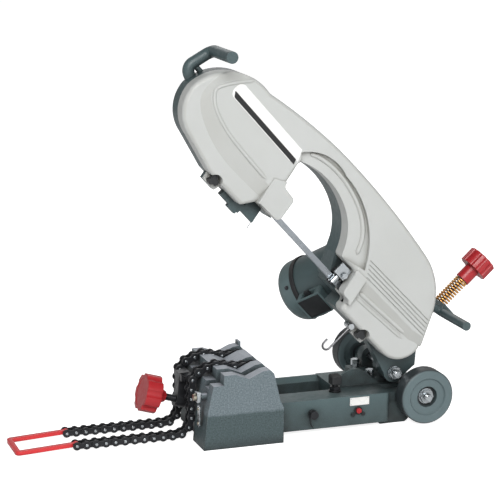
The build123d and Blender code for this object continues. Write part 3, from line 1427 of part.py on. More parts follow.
def balance_spring():
    """Load spring: one eight-sided wire wound in a real helix."""
    places = spring_points()
    edges = [Line((SPRING_R, 0, 0), places[0][0])]
    for (start, start_way), (end, end_way) in zip(places, places[1:]):
        edges += biarc(start, start_way, end, end_way)
    top = places[-1][0]
    edges.append(Line(top, top + Vector(0, 0, 2 * SPRING_WIRE_R)))
    wire = Wire(edges)
    spring = sweep(Plane((SPRING_R, 0, 0), z_dir=(0, 0, 1)) * RegularPolygon(SPRING_WIRE_R, 8), wire)
    print("spring gap", round(coil_gap(wire), 2))
    return Pos(ROD_U, ROD_Y, SEAT_V) * spring


def coil_gap(wire):
    """Least gap between turns of the spring, measured on points along its line."""
    count = 60 * SPRING_TURNS
    points = [wire.position_at(index / count) for index in range(count + 1)]
    away = 20
    least = min((points[i] - points[j]).length for i in range(count + 1) for j in range(i + away, count + 1))
    return least - 2 * SPRING_WIRE_R


def load_knob():
    """Red fluted knob on the load rod."""
    low = SEAT_V + SPRING_LENGTH
    neck = Pos(0, 0, low) * extrude(Circle(LOAD_NECK_R), LOAD_NECK_L)
    head = Pos(0, 0, low + LOAD_NECK_L) * extrude(lobed(LOAD_KNOB_R, 12, 2), LOAD_KNOB_T)
    head = chamfer(head.faces().sort_by(Axis.Z)[-1].edges(), 1.5)
    bore = Pos(0, 0, low - 1) * extrude(Circle(ROD_R + RUN_GAP), 43)
    return Pos(ROD_U, ROD_Y, 0) * (neck + head - bore)


BASE_NODES = (
    vee_block, vise_screw, vise_knob, chain_catch, chain_anchor_pin, latch_barrel, latch_pin, base_frame,
    pivot_bracket, load_anchor_pin, pivot_shaft, wheel_axle, stop_stud, stop_bumper, reset_button, lock_peg,
)

ARM_NODES = (
    arm_frame, wheel_cover, tension_slide, tension_screw, idler_axle, idler_bearings, drive_shaft, shaft_bearings,
    drive_gear, countershaft, armature, gear_case, motor_housing, motor_stator, motor_end_cap, switch_box,
    switch_lever, blade, upper_guide, lower_guide, guide_cover_plate, front_handle, rear_handle, balance_rod,
    balance_spring, load_knob, lock_hook, hook_pin,
)


def base_pieces():
    """Every node of the base, the vise and the chains."""
    nodes = {make.__name__: make() for make in BASE_NODES}
    nodes["base_bolts"] = group([vee_block_bolts(), pivot_bracket_bolts()])
    nodes["axle_nuts"] = group([pivot_nuts(), wheel_nuts()])
    nodes["button_trim"] = group([button_bezel(), button_screws()])
    nodes["near_wheel"] = transport_wheel(NEAR_WHEEL_Y, 1)
    nodes["far_wheel"] = transport_wheel(FAR_WHEEL_Y, -1)
    pins = chain_pins(DRAPE_LINKS + TAIL_LINKS)
    drape = pins[:DRAPE_LINKS + 1]
    tail = pins[DRAPE_LINKS:]
    bore = rod_y(ANCHOR_R + RUN_GAP, 0, BLOCK_DEPTH, ANCHOR_X, ANCHOR_Z)
    nodes["chains"] = group([link - bore if index == 0 else link
                             for y in STRAND_Y for index, link in enumerate(chain_links(drape, 0, y))])
    nodes["chain_tails"] = group([link for y in STRAND_Y for link in chain_links(tail, DRAPE_LINKS, y)]
                                 + bail_pins(pins[-1]))
    nodes["chain_bail"] = chain_bail(pins[-1])
    return nodes


def arm_pieces():
    """Every node of the saw arm, swung up to its rest position."""
    nodes = {make.__name__: make() for make in ARM_NODES}
    nodes["idler_wheel"] = band_wheel(IDLER_BEARING_R + PRESS_GAP, IDLER_U)
    nodes["drive_wheel"] = band_wheel(DRIVE_SHAFT_R + PRESS_GAP, DRIVE_U)
    nodes["idler_tyre"] = band_tyre(IDLER_U)
    nodes["drive_tyre"] = band_tyre(DRIVE_U)
    for side, place in zip(("front", "back"), roller_places(LOWER_GUIDE_U)):
        nodes[side + "_guide_roller"] = guide_roller(place)
    nodes["upper_cover_screw"] = hand_screw(UPPER_SCREW)
    nodes["lower_cover_screw"] = hand_screw(LOWER_SCREW)
    return {name: raised(shape) for name, shape in nodes.items()}


def main():
    """Builds every node and writes it."""
    os.makedirs("parts", exist_ok=True)
    for name, shape in {**base_pieces(), **arm_pieces()}.items():
        export_step(shape, f"parts/{name}.step")


main()
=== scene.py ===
import json
import logging
import math
from collections.abc import Callable
from dataclasses import dataclass
from enum import Enum

import bpy
from mathutils import Matrix, Vector


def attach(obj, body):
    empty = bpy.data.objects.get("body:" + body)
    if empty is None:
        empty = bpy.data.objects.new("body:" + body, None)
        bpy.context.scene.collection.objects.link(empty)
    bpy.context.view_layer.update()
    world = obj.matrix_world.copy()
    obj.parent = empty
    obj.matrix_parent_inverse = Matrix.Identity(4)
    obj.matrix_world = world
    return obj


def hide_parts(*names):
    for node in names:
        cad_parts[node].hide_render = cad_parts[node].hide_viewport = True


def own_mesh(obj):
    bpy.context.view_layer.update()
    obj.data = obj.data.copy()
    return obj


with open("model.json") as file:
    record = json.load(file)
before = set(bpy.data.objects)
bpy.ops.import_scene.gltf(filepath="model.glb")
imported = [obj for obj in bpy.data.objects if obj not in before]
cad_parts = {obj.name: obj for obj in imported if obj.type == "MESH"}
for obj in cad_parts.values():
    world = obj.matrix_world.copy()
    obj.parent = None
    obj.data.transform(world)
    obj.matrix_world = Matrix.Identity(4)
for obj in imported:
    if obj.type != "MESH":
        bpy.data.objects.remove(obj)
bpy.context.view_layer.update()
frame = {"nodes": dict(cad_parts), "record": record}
MM = 0.001
log = logging.getLogger("band_saw")

Colour = tuple[float, float, float, float]
Spot = tuple[float, float, float]
Pair = tuple[float, float]
Path = tuple[Pair, ...]
Bar = tuple[float, float, float, float]
Piece = bpy.types.Object
Socket = bpy.types.NodeSocket
Sockets = dict[str, Socket]


def tone(red: int, green: int, blue: int) -> Colour:
    """Turn a colour given in 0 to 255 display values into the linear colour that shaders take.

    Args:
        red: Display value of red.
        green: Display value of green.
        blue: Display value of blue.

    Returns:
        The linear colour with full alpha.
    """
    values = []
    for part in (red, green, blue):
        level = part / 255
        values.append(level / 12.92 if level <= 0.04045 else ((level + 0.055) / 1.055) ** 2.4)
    return (*values, 1.0)


class Wiring:
    """A shader node tree, with short calls that add nodes and join sockets."""

    def __init__(self, tree: bpy.types.NodeTree) -> None:
        """Take the tree that the nodes go into."""
        self.tree = tree

    def node(self, kind: str, settings: dict | None = None, **inputs: object) -> bpy.types.Node:
        """Add a node, set its properties and fill or join its inputs.

        Args:
            kind: Type name of the node.
            settings: Properties of the node by name.
            **inputs: Values or sockets for the inputs, by socket name with spaces as underscores.

        Returns:
            The new node.
        """
        made = self.tree.nodes.new(kind)
        for name, value in (settings or {}).items():
            setattr(made, name, value)
        for name, value in inputs.items():
            self.feed(made.inputs[name.replace("_", " ")], value)
        return made

    def feed(self, target: Socket, value: object) -> None:
        """Join a socket to an input, or set the input's own value.

        Args:
            target: The input.
            value: A socket or a plain value.
        """
        if isinstance(value, Socket):
            self.tree.links.new(value, target)
        else:
            target.default_value = value

    def calc(self, operation: str, first: object, second: object = 0.0, clamp: bool = False) -> Socket:
        """Work out a value from two others.

        Args:
            operation: Name of the math operation.
            first: First value or socket.
            second: Second value or socket.
            clamp: Whether the outcome stays between 0 and 1.

        Returns:
            The socket with the outcome.
        """
        made = self.node("ShaderNodeMath", {"operation": operation, "use_clamp": clamp})
        self.feed(made.inputs[0], first)
        self.feed(made.inputs[1], second)
        return made.outputs[0]

    def vector(self, operation: str, *values: object) -> bpy.types.Node:
        """Work out a vector, or a value from vectors.

        Args:
            operation: Name of the vector operation.
            *values: Values or sockets in the order of the inputs.

        Returns:
            The node with the outcome.
        """
        made = self.node("ShaderNodeVectorMath", {"operation": operation})
        for target, value in zip(made.inputs, values):
            self.feed(target, value)
        return made

    def noise(self, place: Socket, scale: object, detail: float) -> Socket:
        """Return a noise of some scale and detail."""
        return self.node("ShaderNodeTexNoise", Vector=place, Scale=scale, Detail=detail).outputs[0]

    def split(self, value: Socket) -> bpy.types.bpy_prop_collection:
        """Return the three parts of a vector, by axis."""
        return self.node("ShaderNodeSeparateXYZ", Vector=value).outputs

    def normal(self) -> Socket:
        """Return the surface's own normal."""
        return self.node("ShaderNodeNewGeometry").outputs["Normal"]

    def blend(self, share: object, first: object, second: object) -> Socket:
        """Blend two colours.

        Args:
            share: How much of the second colour shows.
            first: Colour or socket below.
            second: Colour or socket above.

        Returns:
            The socket with the blended colour.
        """
        made = self.node("ShaderNodeMix", {"data_type": "RGBA"})
        self.feed(made.inputs[0], share)
        self.feed(made.inputs[6], first)
        self.feed(made.inputs[7], second)
        return made.outputs[2]

    def span(self, value: object, low: float, high: float, to_low: float, to_high: float) -> Socket:
        """Map a value from one span to another, held at the ends.

        Args:
            value: Value or socket to map.
            low: Start of its span.
            high: End of its span.
            to_low: Outcome at the start.
            to_high: Outcome at the end.

        Returns:
            The socket with the mapped value.
        """
        made = self.node("ShaderNodeMapRange", {"clamp": True, "interpolation_type": "SMOOTHSTEP"})
        for place, item in enumerate((value, low, high, to_low, to_high)):
            self.feed(made.inputs[place], item)
        return made.outputs[0]


class Shared(Enum):
    """The effects that several finishes use, each kept as one node group."""

    MOTTLE = "uneven_coat"
    GRAIN = "cast_grain"
    EDGE = "rubbed_edges"
    DUST = "settled_dust"
    SCRATCH = "fine_scratches"
    CREVICE = "corner_dirt"


VECTOR_SOCKETS = ("Place", "Stretch", "Normal")


@dataclass
class Effects:
    """Builds the shared node groups once and hands them out; scales are in patterns per metre."""

    quick_times: float = 14.0
    speck_reach: float = 0.35
    corner_turn: Pair = (0.985, 0.8)
    rub_scale: float = 90.0
    dust_scale: float = 22.0
    shade_patch_scale: float = 45.0

    def __post_init__(self) -> None:
        """Build every group."""
        self.groups: dict[Shared, bpy.types.NodeTree] = {}
        for build in (self.mottle, self.grain, self.edge, self.dust, self.scratch, self.crevice):
            build()

    def start(self, kind: Shared, takes: str, gives: str) -> tuple[Wiring, Sockets, Sockets]:
        """Make an empty group with named sockets.

        Args:
            kind: Which effect the group is.
            takes: Names of its inputs.
            gives: Names of its outputs.

        Returns:
            The wiring of the group, its inputs by name and its outputs by name.
        """
        tree = bpy.data.node_groups.new(kind.value, "ShaderNodeTree")
        for names, side in ((takes, "INPUT"), (gives, "OUTPUT")):
            for name in names.split():
                sort = "NodeSocketVector" if name in VECTOR_SOCKETS else "NodeSocketFloat"
                tree.interface.new_socket(name=name, in_out=side, socket_type=sort)
        self.groups[kind] = tree
        way_in = tree.nodes.new("NodeGroupInput")
        way_out = tree.nodes.new("NodeGroupOutput")
        inputs = {socket.name: socket for socket in way_in.outputs if socket.name}
        outputs = {socket.name: socket for socket in way_out.inputs if socket.name}
        return Wiring(tree), inputs, outputs

    def mottle(self) -> None:
        """Slow and quick unevenness of a coat, both around one half."""
        wires, into, out = self.start(Shared.MOTTLE, "Place Scale", "Slow Quick")
        faster = wires.calc("MULTIPLY", into["Scale"], self.quick_times)
        wires.feed(out["Slow"], wires.noise(into["Place"], into["Scale"], 3.0))
        wires.feed(out["Quick"], wires.noise(into["Place"], faster, 5.0))

    def grain(self) -> None:
        """Height and specks of a cast or sprayed skin."""
        wires, into, out = self.start(Shared.GRAIN, "Place Scale", "Height Specks")
        place, scale = into["Place"], into["Scale"]
        cells = wires.node("ShaderNodeTexVoronoi", {"feature": "F1"}, Vector=place, Scale=scale)
        wires.feed(out["Height"], wires.noise(place, scale, 4.0))
        wires.feed(out["Specks"], wires.span(cells.outputs["Distance"], 0.0, self.speck_reach, 1.0, 0.0))

    def edge(self) -> None:
        """A softened normal, and a ragged mask along the corners that hands and tools rub; on the cover it
        carries a painted highlight.
        """
        wires, into, out = self.start(Shared.EDGE, "Place Radius Wear", "Normal Mask")
        soft = wires.node("ShaderNodeBevel", {"samples": 4}, Radius=into["Radius"]).outputs["Normal"]
        turn = wires.vector("DOT_PRODUCT", soft, wires.normal()).outputs["Value"]
        corner = wires.span(turn, *self.corner_turn, 0.0, 1.0)
        broken = wires.span(wires.noise(into["Place"], self.rub_scale, 6.0), 0.42, 0.68, 0.0, 1.0)
        worn_and_lit = wires.calc("MULTIPLY", corner, broken)
        wires.feed(out["Normal"], soft)
        wires.feed(out["Mask"], wires.calc("MULTIPLY", worn_and_lit, into["Wear"], clamp=True))

    def dust(self) -> None:
        """A mask for the fine dust that lies on faces turned up."""
        wires, into, out = self.start(Shared.DUST, "Place Amount", "Mask")
        facing = wires.span(wires.split(wires.normal())["Z"], 0.3, 0.95, 0.0, 1.0)
        cloud = wires.span(wires.noise(into["Place"], self.dust_scale, 5.0), 0.35, 0.7, 0.2, 1.0)
        lying = wires.calc("MULTIPLY", facing, cloud)
        wires.feed(out["Mask"], wires.calc("MULTIPLY", lying, into["Amount"], clamp=True))

    def scratch(self) -> None:
        """Thin streaks along one direction, as grinding and rolling leave on steel."""
        wires, into, out = self.start(Shared.SCRATCH, "Place Stretch", "Streaks")
        drawn = wires.vector("MULTIPLY", into["Place"], into["Stretch"]).outputs[0]
        wires.feed(out["Streaks"], wires.noise(drawn, 1.0, 6.0))

    def crevice(self) -> None:
        """A mask of painted shade in seams, grooves and inner corners, placed by ambient occlusion."""
        wires, into, out = self.start(Shared.CREVICE, "Place Reach Amount", "Mask")
        open_air = wires.node("ShaderNodeAmbientOcclusion", {"samples": 6}, Distance=into["Reach"])
        patchy = wires.span(wires.noise(into["Place"], self.shade_patch_scale, 4.0), 0.25, 0.75, 0.75, 1.0)
        held = wires.calc("MULTIPLY", wires.span(open_air.outputs["AO"], 0.35, 0.9, 1.0, 0.0), patchy)
        wires.feed(out["Mask"], wires.calc("MULTIPLY", held, into["Amount"], clamp=True))

    def place(self, wires: Wiring, kind: Shared, **inputs: object) -> bpy.types.bpy_prop_collection:
        """Put one of the groups into a material and return the group's outputs."""
        return wires.node("ShaderNodeGroup", {"node_tree": self.groups[kind]}, **inputs).outputs


@dataclass(frozen=True)
class Finish:
    """One surface finish: its colours, its gloss and the marks it carries; lengths are in metres."""

    name: str
    colour: Colour
    second: Colour
    rough: float
    rough_spread: float = 0.06
    metal: float = 0.0
    grain_scale: float = 900.0
    grain_depth: float = 0.00006
    mottle: float = 0.5
    mottle_scale: float = 9.0
    middle: Pair = (0.3, 0.7)
    # edges rubbed by use; on the cover the lighter edge tone is a painted highlight
    wear: float = 0.0
    worn_and_lit: Colour = (0.5, 0.5, 0.5, 1.0)
    worn_metal: float = 0.0
    edge: float = 0.0009
    dust: float = 0.0
    dust_tone: Colour = tone(150, 148, 142)
    dust_rough: float = 0.3
    specks: float = 0.0
    speck: Colour = (0.2, 0.2, 0.2, 1.0)
    streaks: Spot | None = None
    streak_rough: Pair = (-0.1, 0.12)
    streak_share: float = 0.35
    coat: float = 0.0
    coat_rough: float = 0.12
    # painted shade in seams, grooves and hollows: its amount, the reach of the occlusion that places it, and
    # its tone, which on the block also fills the pits below its line
    crevice_shade: float = 0.55
    reach: float = 0.006
    shade_and_pit_tone: Colour = (0.012, 0.014, 0.014, 1.0)

    def material(self, effects: Effects) -> bpy.types.Material:
        """Build the finish as a material.

        Args:
            effects: The shared node groups.

        Returns:
            The material.
        """
        made = bpy.data.materials.new(self.name)
        made.use_nodes = True
        made.node_tree.nodes.clear()
        wires = Wiring(made.node_tree)
        place = wires.node("ShaderNodeTexCoord").outputs["Object"]
        coat = effects.place(wires, Shared.MOTTLE, Place=place, Scale=self.mottle_scale)
        grain = effects.place(wires, Shared.GRAIN, Place=place, Scale=self.grain_scale)
        rubbed_and_lit = effects.place(wires, Shared.EDGE, Place=place, Radius=self.edge, Wear=self.wear)
        dusty = effects.place(wires, Shared.DUST, Place=place, Amount=self.dust)["Mask"]
        uneven = wires.span(coat["Slow"], *self.middle, 0.0, self.mottle)
        colour = wires.blend(uneven, self.colour, self.second)
        if self.specks:
            colour = wires.blend(wires.calc("MULTIPLY", grain["Specks"], self.specks), colour, self.speck)
        colour = self.shade(wires, place, colour)
        height = grain["Height"]
        low, high = self.rough - self.rough_spread, self.rough + self.rough_spread
        rough = wires.span(coat["Quick"], *self.middle, low, high)
        if self.streaks:
            drawn = effects.place(wires, Shared.SCRATCH, Place=place, Stretch=self.streaks)["Streaks"]
            rough = wires.span(drawn, 0.25, 0.75, *(self.rough + change for change in self.streak_rough))
            colour = wires.blend(wires.span(drawn, *self.middle, 0.0, self.streak_share), colour, self.second)
            height = wires.calc("ADD", height, drawn)
        # rubbed edges, with a painted highlight along the edges of the cover
        colour = wires.blend(rubbed_and_lit["Mask"], colour, self.worn_and_lit)
        colour = wires.blend(dusty, colour, self.dust_tone)
        # painted shade in seams, grooves and hollows
        if self.crevice_shade:
            corner = effects.place(wires, Shared.CREVICE, Place=place, Reach=self.reach, Amount=self.crevice_shade)
            colour = wires.blend(corner["Mask"], colour, self.shade_and_pit_tone)
        rough = wires.calc("ADD", rough, wires.calc("MULTIPLY", dusty, self.dust_rough), clamp=True)
        metal = self.metal
        if self.wear and self.worn_metal != self.metal:
            metal = wires.span(rubbed_and_lit["Mask"], 0.0, 1.0, self.metal, self.worn_metal)
        bump = wires.node("ShaderNodeBump", Strength=1.0, Distance=self.grain_depth, Height=height,
                          Normal=rubbed_and_lit["Normal"])
        skin = wires.node("ShaderNodeBsdfPrincipled", Base_Color=colour, Roughness=rough, Metallic=metal,
                          Normal=bump.outputs[0], Coat_Weight=self.coat, Coat_Roughness=self.coat_rough)
        wires.node("ShaderNodeOutputMaterial", Surface=skin.outputs[0])
        return made

    def shade(self, wires: Wiring, place: Socket, colour: Socket) -> Socket:
        """Leave the colour as it is; finishes with a further tone change it here."""
        return colour


@dataclass(frozen=True)
class BlockFinish(Finish):
    """Casting of the vee block: darker below a ragged line, with a painted highlight and planing lines on its
    pipe rests.
    """

    low: Colour = (0.1, 0.1, 0.1, 1.0)
    # the light tone is a painted highlight on the tops of the pipe rests
    bare: Colour = (0.4, 0.4, 0.4, 1.0)
    line: float = 0.056
    fade: float = 0.003
    ragged: float = 0.001
    ragged_scale: float = 60.0
    dot_scale: float = 430.0
    planing: float = 0.0035

    def shade(self, wires: Wiring, place: Socket, colour: Socket) -> Socket:
        """Speckle the block, darken it below a ragged line, and paint a highlight with planing lines on its
        pipe rests.

        Args:
            wires: The material's wiring.
            place: Object coordinates.
            colour: Colour so far.

        Returns:
            The socket with the new colour.
        """
        parts = wires.split(place)
        ragged = wires.span(wires.noise(place, self.ragged_scale, 3.0), 0.2, 0.8, -self.ragged, self.ragged)
        level = wires.calc("ADD", parts["Z"], ragged)
        below = wires.span(level, self.line - self.fade, self.line + self.fade, 1.0, 0.0)
        dots = wires.noise(place, self.dot_scale, 3.0)
        flecks = wires.span(dots, 0.42, 0.72, 0.0, 0.4)
        holes = wires.span(dots, 0.3, 0.45, 0.35, 0.0)
        upper_colour = wires.blend(holes, wires.blend(flecks, colour, self.speck), self.low)
        lower_colour = wires.blend(holes, wires.blend(flecks, self.low, colour), self.shade_and_pit_tone)
        return self.planed_and_lit(wires, parts["Y"], wires.blend(below, upper_colour, lower_colour))

    def planed_and_lit(self, wires: Wiring, across: Socket, colour: Socket) -> Socket:
        """Paint a highlight, broken by planing lines, on the upper faces of the pipe rests.

        Args:
            wires: The material's wiring.
            across: Place across the block.
            colour: Colour so far.

        Returns:
            The socket with the new colour.
        """
        facing = wires.span(wires.split(wires.normal())["Z"], 0.4, 0.7, 0.0, 1.0)
        wave = wires.calc("SINE", wires.calc("MULTIPLY", across, 2 * math.pi / self.planing))
        lines = wires.span(wave, -0.2, 0.9, 0.35, 0.95)
        return wires.blend(wires.calc("MULTIPLY", facing, lines), colour, self.bare)


@dataclass(frozen=True)
class WheelFinish(Finish):
    """Moulded wheel: a lighter face and hub, with painted shade on the running band and on the recess
    between.
    """

    axle: Spot = (0.318, 0.0, 0.0485)
    band: float = 0.0448
    band_fade: float = 0.0006
    band_share: float = 0.85
    recess: Pair = (0.0122, 0.0184)
    recess_fade: Pair = (0.0015, 0.002)
    recess_share: float = 0.95
    # tone of the painted shade on the running band and the recess
    dark: Colour = (0.02, 0.02, 0.02, 1.0)

    def shade(self, wires: Wiring, place: Socket, colour: Socket) -> Socket:
        """Darken the running band and the recess with painted shade.

        Args:
            wires: The material's wiring.
            place: Object coordinates.
            colour: Colour so far.

        Returns:
            The socket with the new colour.
        """
        middle = tuple(-part for part in self.axle)
        flat = wires.vector("MULTIPLY_ADD", place, (1.0, 0.0, 1.0), middle).outputs[0]
        radius = wires.vector("LENGTH", flat).outputs["Value"]
        start, end = self.recess
        low, high = self.band - self.band_fade, self.band + self.band_fade
        tread = wires.span(radius, low, high, 0.0, self.band_share)
        inside = wires.span(radius, start, start + self.recess_fade[0], 0.0, 1.0)
        outside = wires.span(radius, end - self.recess_fade[1], end, self.recess_share, 0.0)
        mask = wires.calc("MAXIMUM", tread, wires.calc("MULTIPLY", inside, outside))
        return wires.blend(mask, colour, self.dark)


@dataclass(frozen=True)
class CoverFinish(Finish):
    """Moulded cover: plain plastic, with browner painted shade on the slopes of its relief."""

    slope_shade: Colour = (0.3, 0.3, 0.3, 1.0)
    strength: float = 0.18

    def shade(self, wires: Wiring, place: Socket, colour: Socket) -> Socket:
        """Paint browner shade on the faces that lean away from the operator.

        Args:
            wires: The material's wiring.
            place: Object coordinates; not used here.
            colour: Colour so far.

        Returns:
            The socket with the new colour.
        """
        away = wires.split(wires.normal())["Y"]
        leaning = wires.span(away, -0.995, -0.93, 0.0, self.strength)
        upright = wires.span(away, -0.85, -0.6, 1.0, 0.0)
        return wires.blend(wires.calc("MULTIPLY", leaning, upright), colour, self.slope_shade)


# Each finish's amount, reach and tone of occlusion darkening set its painted shade in seams, grooves and
# hollows.
FINISHES = {finish.name: finish for finish in (
    BlockFinish("block_casting", tone(98, 111, 116), tone(88, 101, 105), 0.45, grain_scale=1300.0,
                grain_depth=0.00012, wear=0.5, worn_and_lit=tone(150, 158, 162), specks=0.12,
                speck=tone(146, 155, 163), dust=0.06, edge=0.0014, low=tone(62, 77, 79),
                bare=tone(182, 186, 196), crevice_shade=0.97, reach=0.03),
    Finish("base_paint", tone(82, 101, 103), tone(72, 90, 93), 0.48, grain_scale=700.0, grain_depth=0.0001,
           wear=0.45, worn_and_lit=tone(128, 138, 140), dust=0.1, edge=0.0014, crevice_shade=0.97, reach=0.1),
    Finish("arm_paint", tone(72, 88, 90), tone(64, 79, 82), 0.42, grain_scale=700.0, grain_depth=0.00009,
           wear=0.4, worn_and_lit=tone(130, 140, 142), dust=0.05, edge=0.0012, crevice_shade=0.85, reach=0.035),
    # On the cover the light edge tone is a painted highlight, and the tones of its corners and slopes are
    # painted shade.
    CoverFinish("cover_plastic", tone(186, 188, 186), tone(179, 181, 178), 0.42, grain_scale=1500.0,
                grain_depth=0.00003, wear=0.3, worn_and_lit=tone(226, 228, 227), dust=0.03, edge=0.0014, crevice_shade=0.6,
                reach=0.012, shade_and_pit_tone=tone(112, 108, 97), slope_shade=tone(150, 146, 134)),
    Finish("red_plastic", tone(174, 36, 42), tone(158, 28, 35), 0.36, grain_scale=1200.0, grain_depth=0.00002,
           wear=0.2, worn_and_lit=tone(205, 82, 82), crevice_shade=0.7, shade_and_pit_tone=tone(90, 14, 18)),
    Finish("red_paint", tone(212, 52, 56), tone(198, 44, 48), 0.4, grain_scale=800.0, grain_depth=0.00004,
           wear=0.5, worn_and_lit=tone(150, 120, 116), edge=0.0007),
    Finish("slate_plastic", tone(96, 114, 116), tone(84, 100, 103), 0.44, grain_scale=1600.0, wear=0.2,
           worn_and_lit=tone(118, 128, 130), dust=0.1, edge=0.001),
    Finish("black_plastic", tone(38, 40, 42), tone(30, 31, 33), 0.45, grain_scale=1600.0, grain_depth=0.00005,
           wear=0.2, worn_and_lit=tone(82, 84, 86), dust=0.08, edge=0.0008),
    Finish("chain_steel", tone(62, 63, 66), tone(42, 43, 46), 0.34, metal=0.75, grain_depth=0.00004, wear=0.7,
           worn_and_lit=tone(150, 150, 152), worn_metal=1.0, edge=0.0004),
    Finish("bright_steel", tone(206, 211, 214), tone(160, 167, 172), 0.24, metal=1.0, grain_scale=1200.0,
           grain_depth=0.000001, edge=0.0004, crevice_shade=0.75, reach=0.004),
    Finish("latch_brass", tone(206, 199, 182), tone(178, 168, 142), 0.28, metal=1.0, grain_scale=1200.0,
           grain_depth=0.00002, edge=0.0003),
    Finish("spring_zinc", tone(240, 186, 114), tone(216, 152, 84), 0.32, metal=1.0, grain_depth=0.00002,
           edge=0.0003),
    Finish("blade_steel", tone(172, 178, 183), tone(138, 144, 150), 0.34, metal=1.0, grain_depth=0.00001,
           streaks=(120.0, 1200.0, 120.0), edge=0.0002),
    Finish("gear_steel", tone(120, 120, 122), tone(94, 94, 96), 0.36, metal=1.0, grain_depth=0.00003,
           wear=0.5, worn_and_lit=tone(190, 190, 192), worn_metal=1.0, edge=0.0004),
    Finish("motor_core", tone(92, 88, 86), tone(74, 70, 68), 0.5, metal=0.8, grain_depth=0.00004,
           streaks=(60.0, 60.0, 900.0), edge=0.0004),
    Finish("wheel_casting", tone(132, 138, 140), tone(112, 118, 120), 0.5, metal=0.3, grain_scale=800.0,
           grain_depth=0.0001, wear=0.4, worn_and_lit=tone(180, 182, 184), edge=0.0008),
    Finish("black_rubber", tone(36, 37, 39), tone(28, 29, 31), 0.62, grain_scale=1100.0, mottle=0.7,
           dust=0.15, edge=0.0012),
    Finish("panel_film", tone(232, 232, 230), tone(224, 224, 221), 0.3, grain_scale=1400.0,
           grain_depth=0.00001, edge=0.0002, coat=0.3, crevice_shade=0.0),
    Finish("stripe_film", tone(26, 26, 28), tone(20, 20, 22), 0.4, grain_scale=1400.0, grain_depth=0.00001,
           edge=0.0002, crevice_shade=0.0),
    # The wheel's darkest tone is painted shade on its running band and recess.
    WheelFinish("wheel_rubber", tone(94, 110, 113), tone(86, 101, 104), 0.46, grain_scale=1100.0, wear=0.3,
                worn_and_lit=tone(120, 128, 130), dust=0.1, edge=0.0012, dark=tone(38, 42, 45)),
)}


class Paintwork:
    """Holds the finished materials and gives every CAD node its own."""

    def __init__(self, effects: Effects) -> None:
        """Build each finish as a material."""
        self.materials = {slot: finish.material(effects) for slot, finish in FINISHES.items()}

    def coat_nodes(self) -> None:
        """Put the finish of its slot on every CAD node, with a darker load rod and a painted latch barrel."""
        others = {"balance_rod": "gear_steel", "latch_barrel": "block_casting"}
        for part in frame["record"]["subparts"]:
            finish = others.get(part["node"], part["material_slot"])
            self.coat(frame["nodes"][part["node"]], finish)
            log.info("finish %s on %s", finish, part["node"])

    def coat(self, piece: Piece, finish: str) -> None:
        """Give one piece a finish in each of its material places.

        Args:
            piece: The piece.
            finish: Name of the finish.
        """
        if not piece.data.materials:
            piece.data.materials.append(self.materials[finish])
        for place in piece.material_slots:
            place.material = self.materials[finish]


def at(x: float, y: float, z: float) -> Matrix:
    """Return a shift to a place in millimetres."""
    return Matrix.Translation((x, y, z))


def turned(angle: float, axis: str) -> Matrix:
    """Return a turn about one axis, in degrees."""
    return Matrix.Rotation(math.radians(angle), 4, axis)


PIVOT = (273.0, 0.0, 85.0)
ARM_TILT = 47.5
SPARE = 1.0  # how far a cutting tool stands out of what it cuts
MM_FRAME = Matrix.Scale(MM, 4)
ARM = MM_FRAME @ at(*PIVOT) @ turned(ARM_TILT, "Y")
FACE = turned(90.0, "X")


class Pick(Enum):
    """What a selection in edit mode is made of."""

    CORNERS = "VERT"
    EDGES = "EDGE"
    FACES = "FACE"


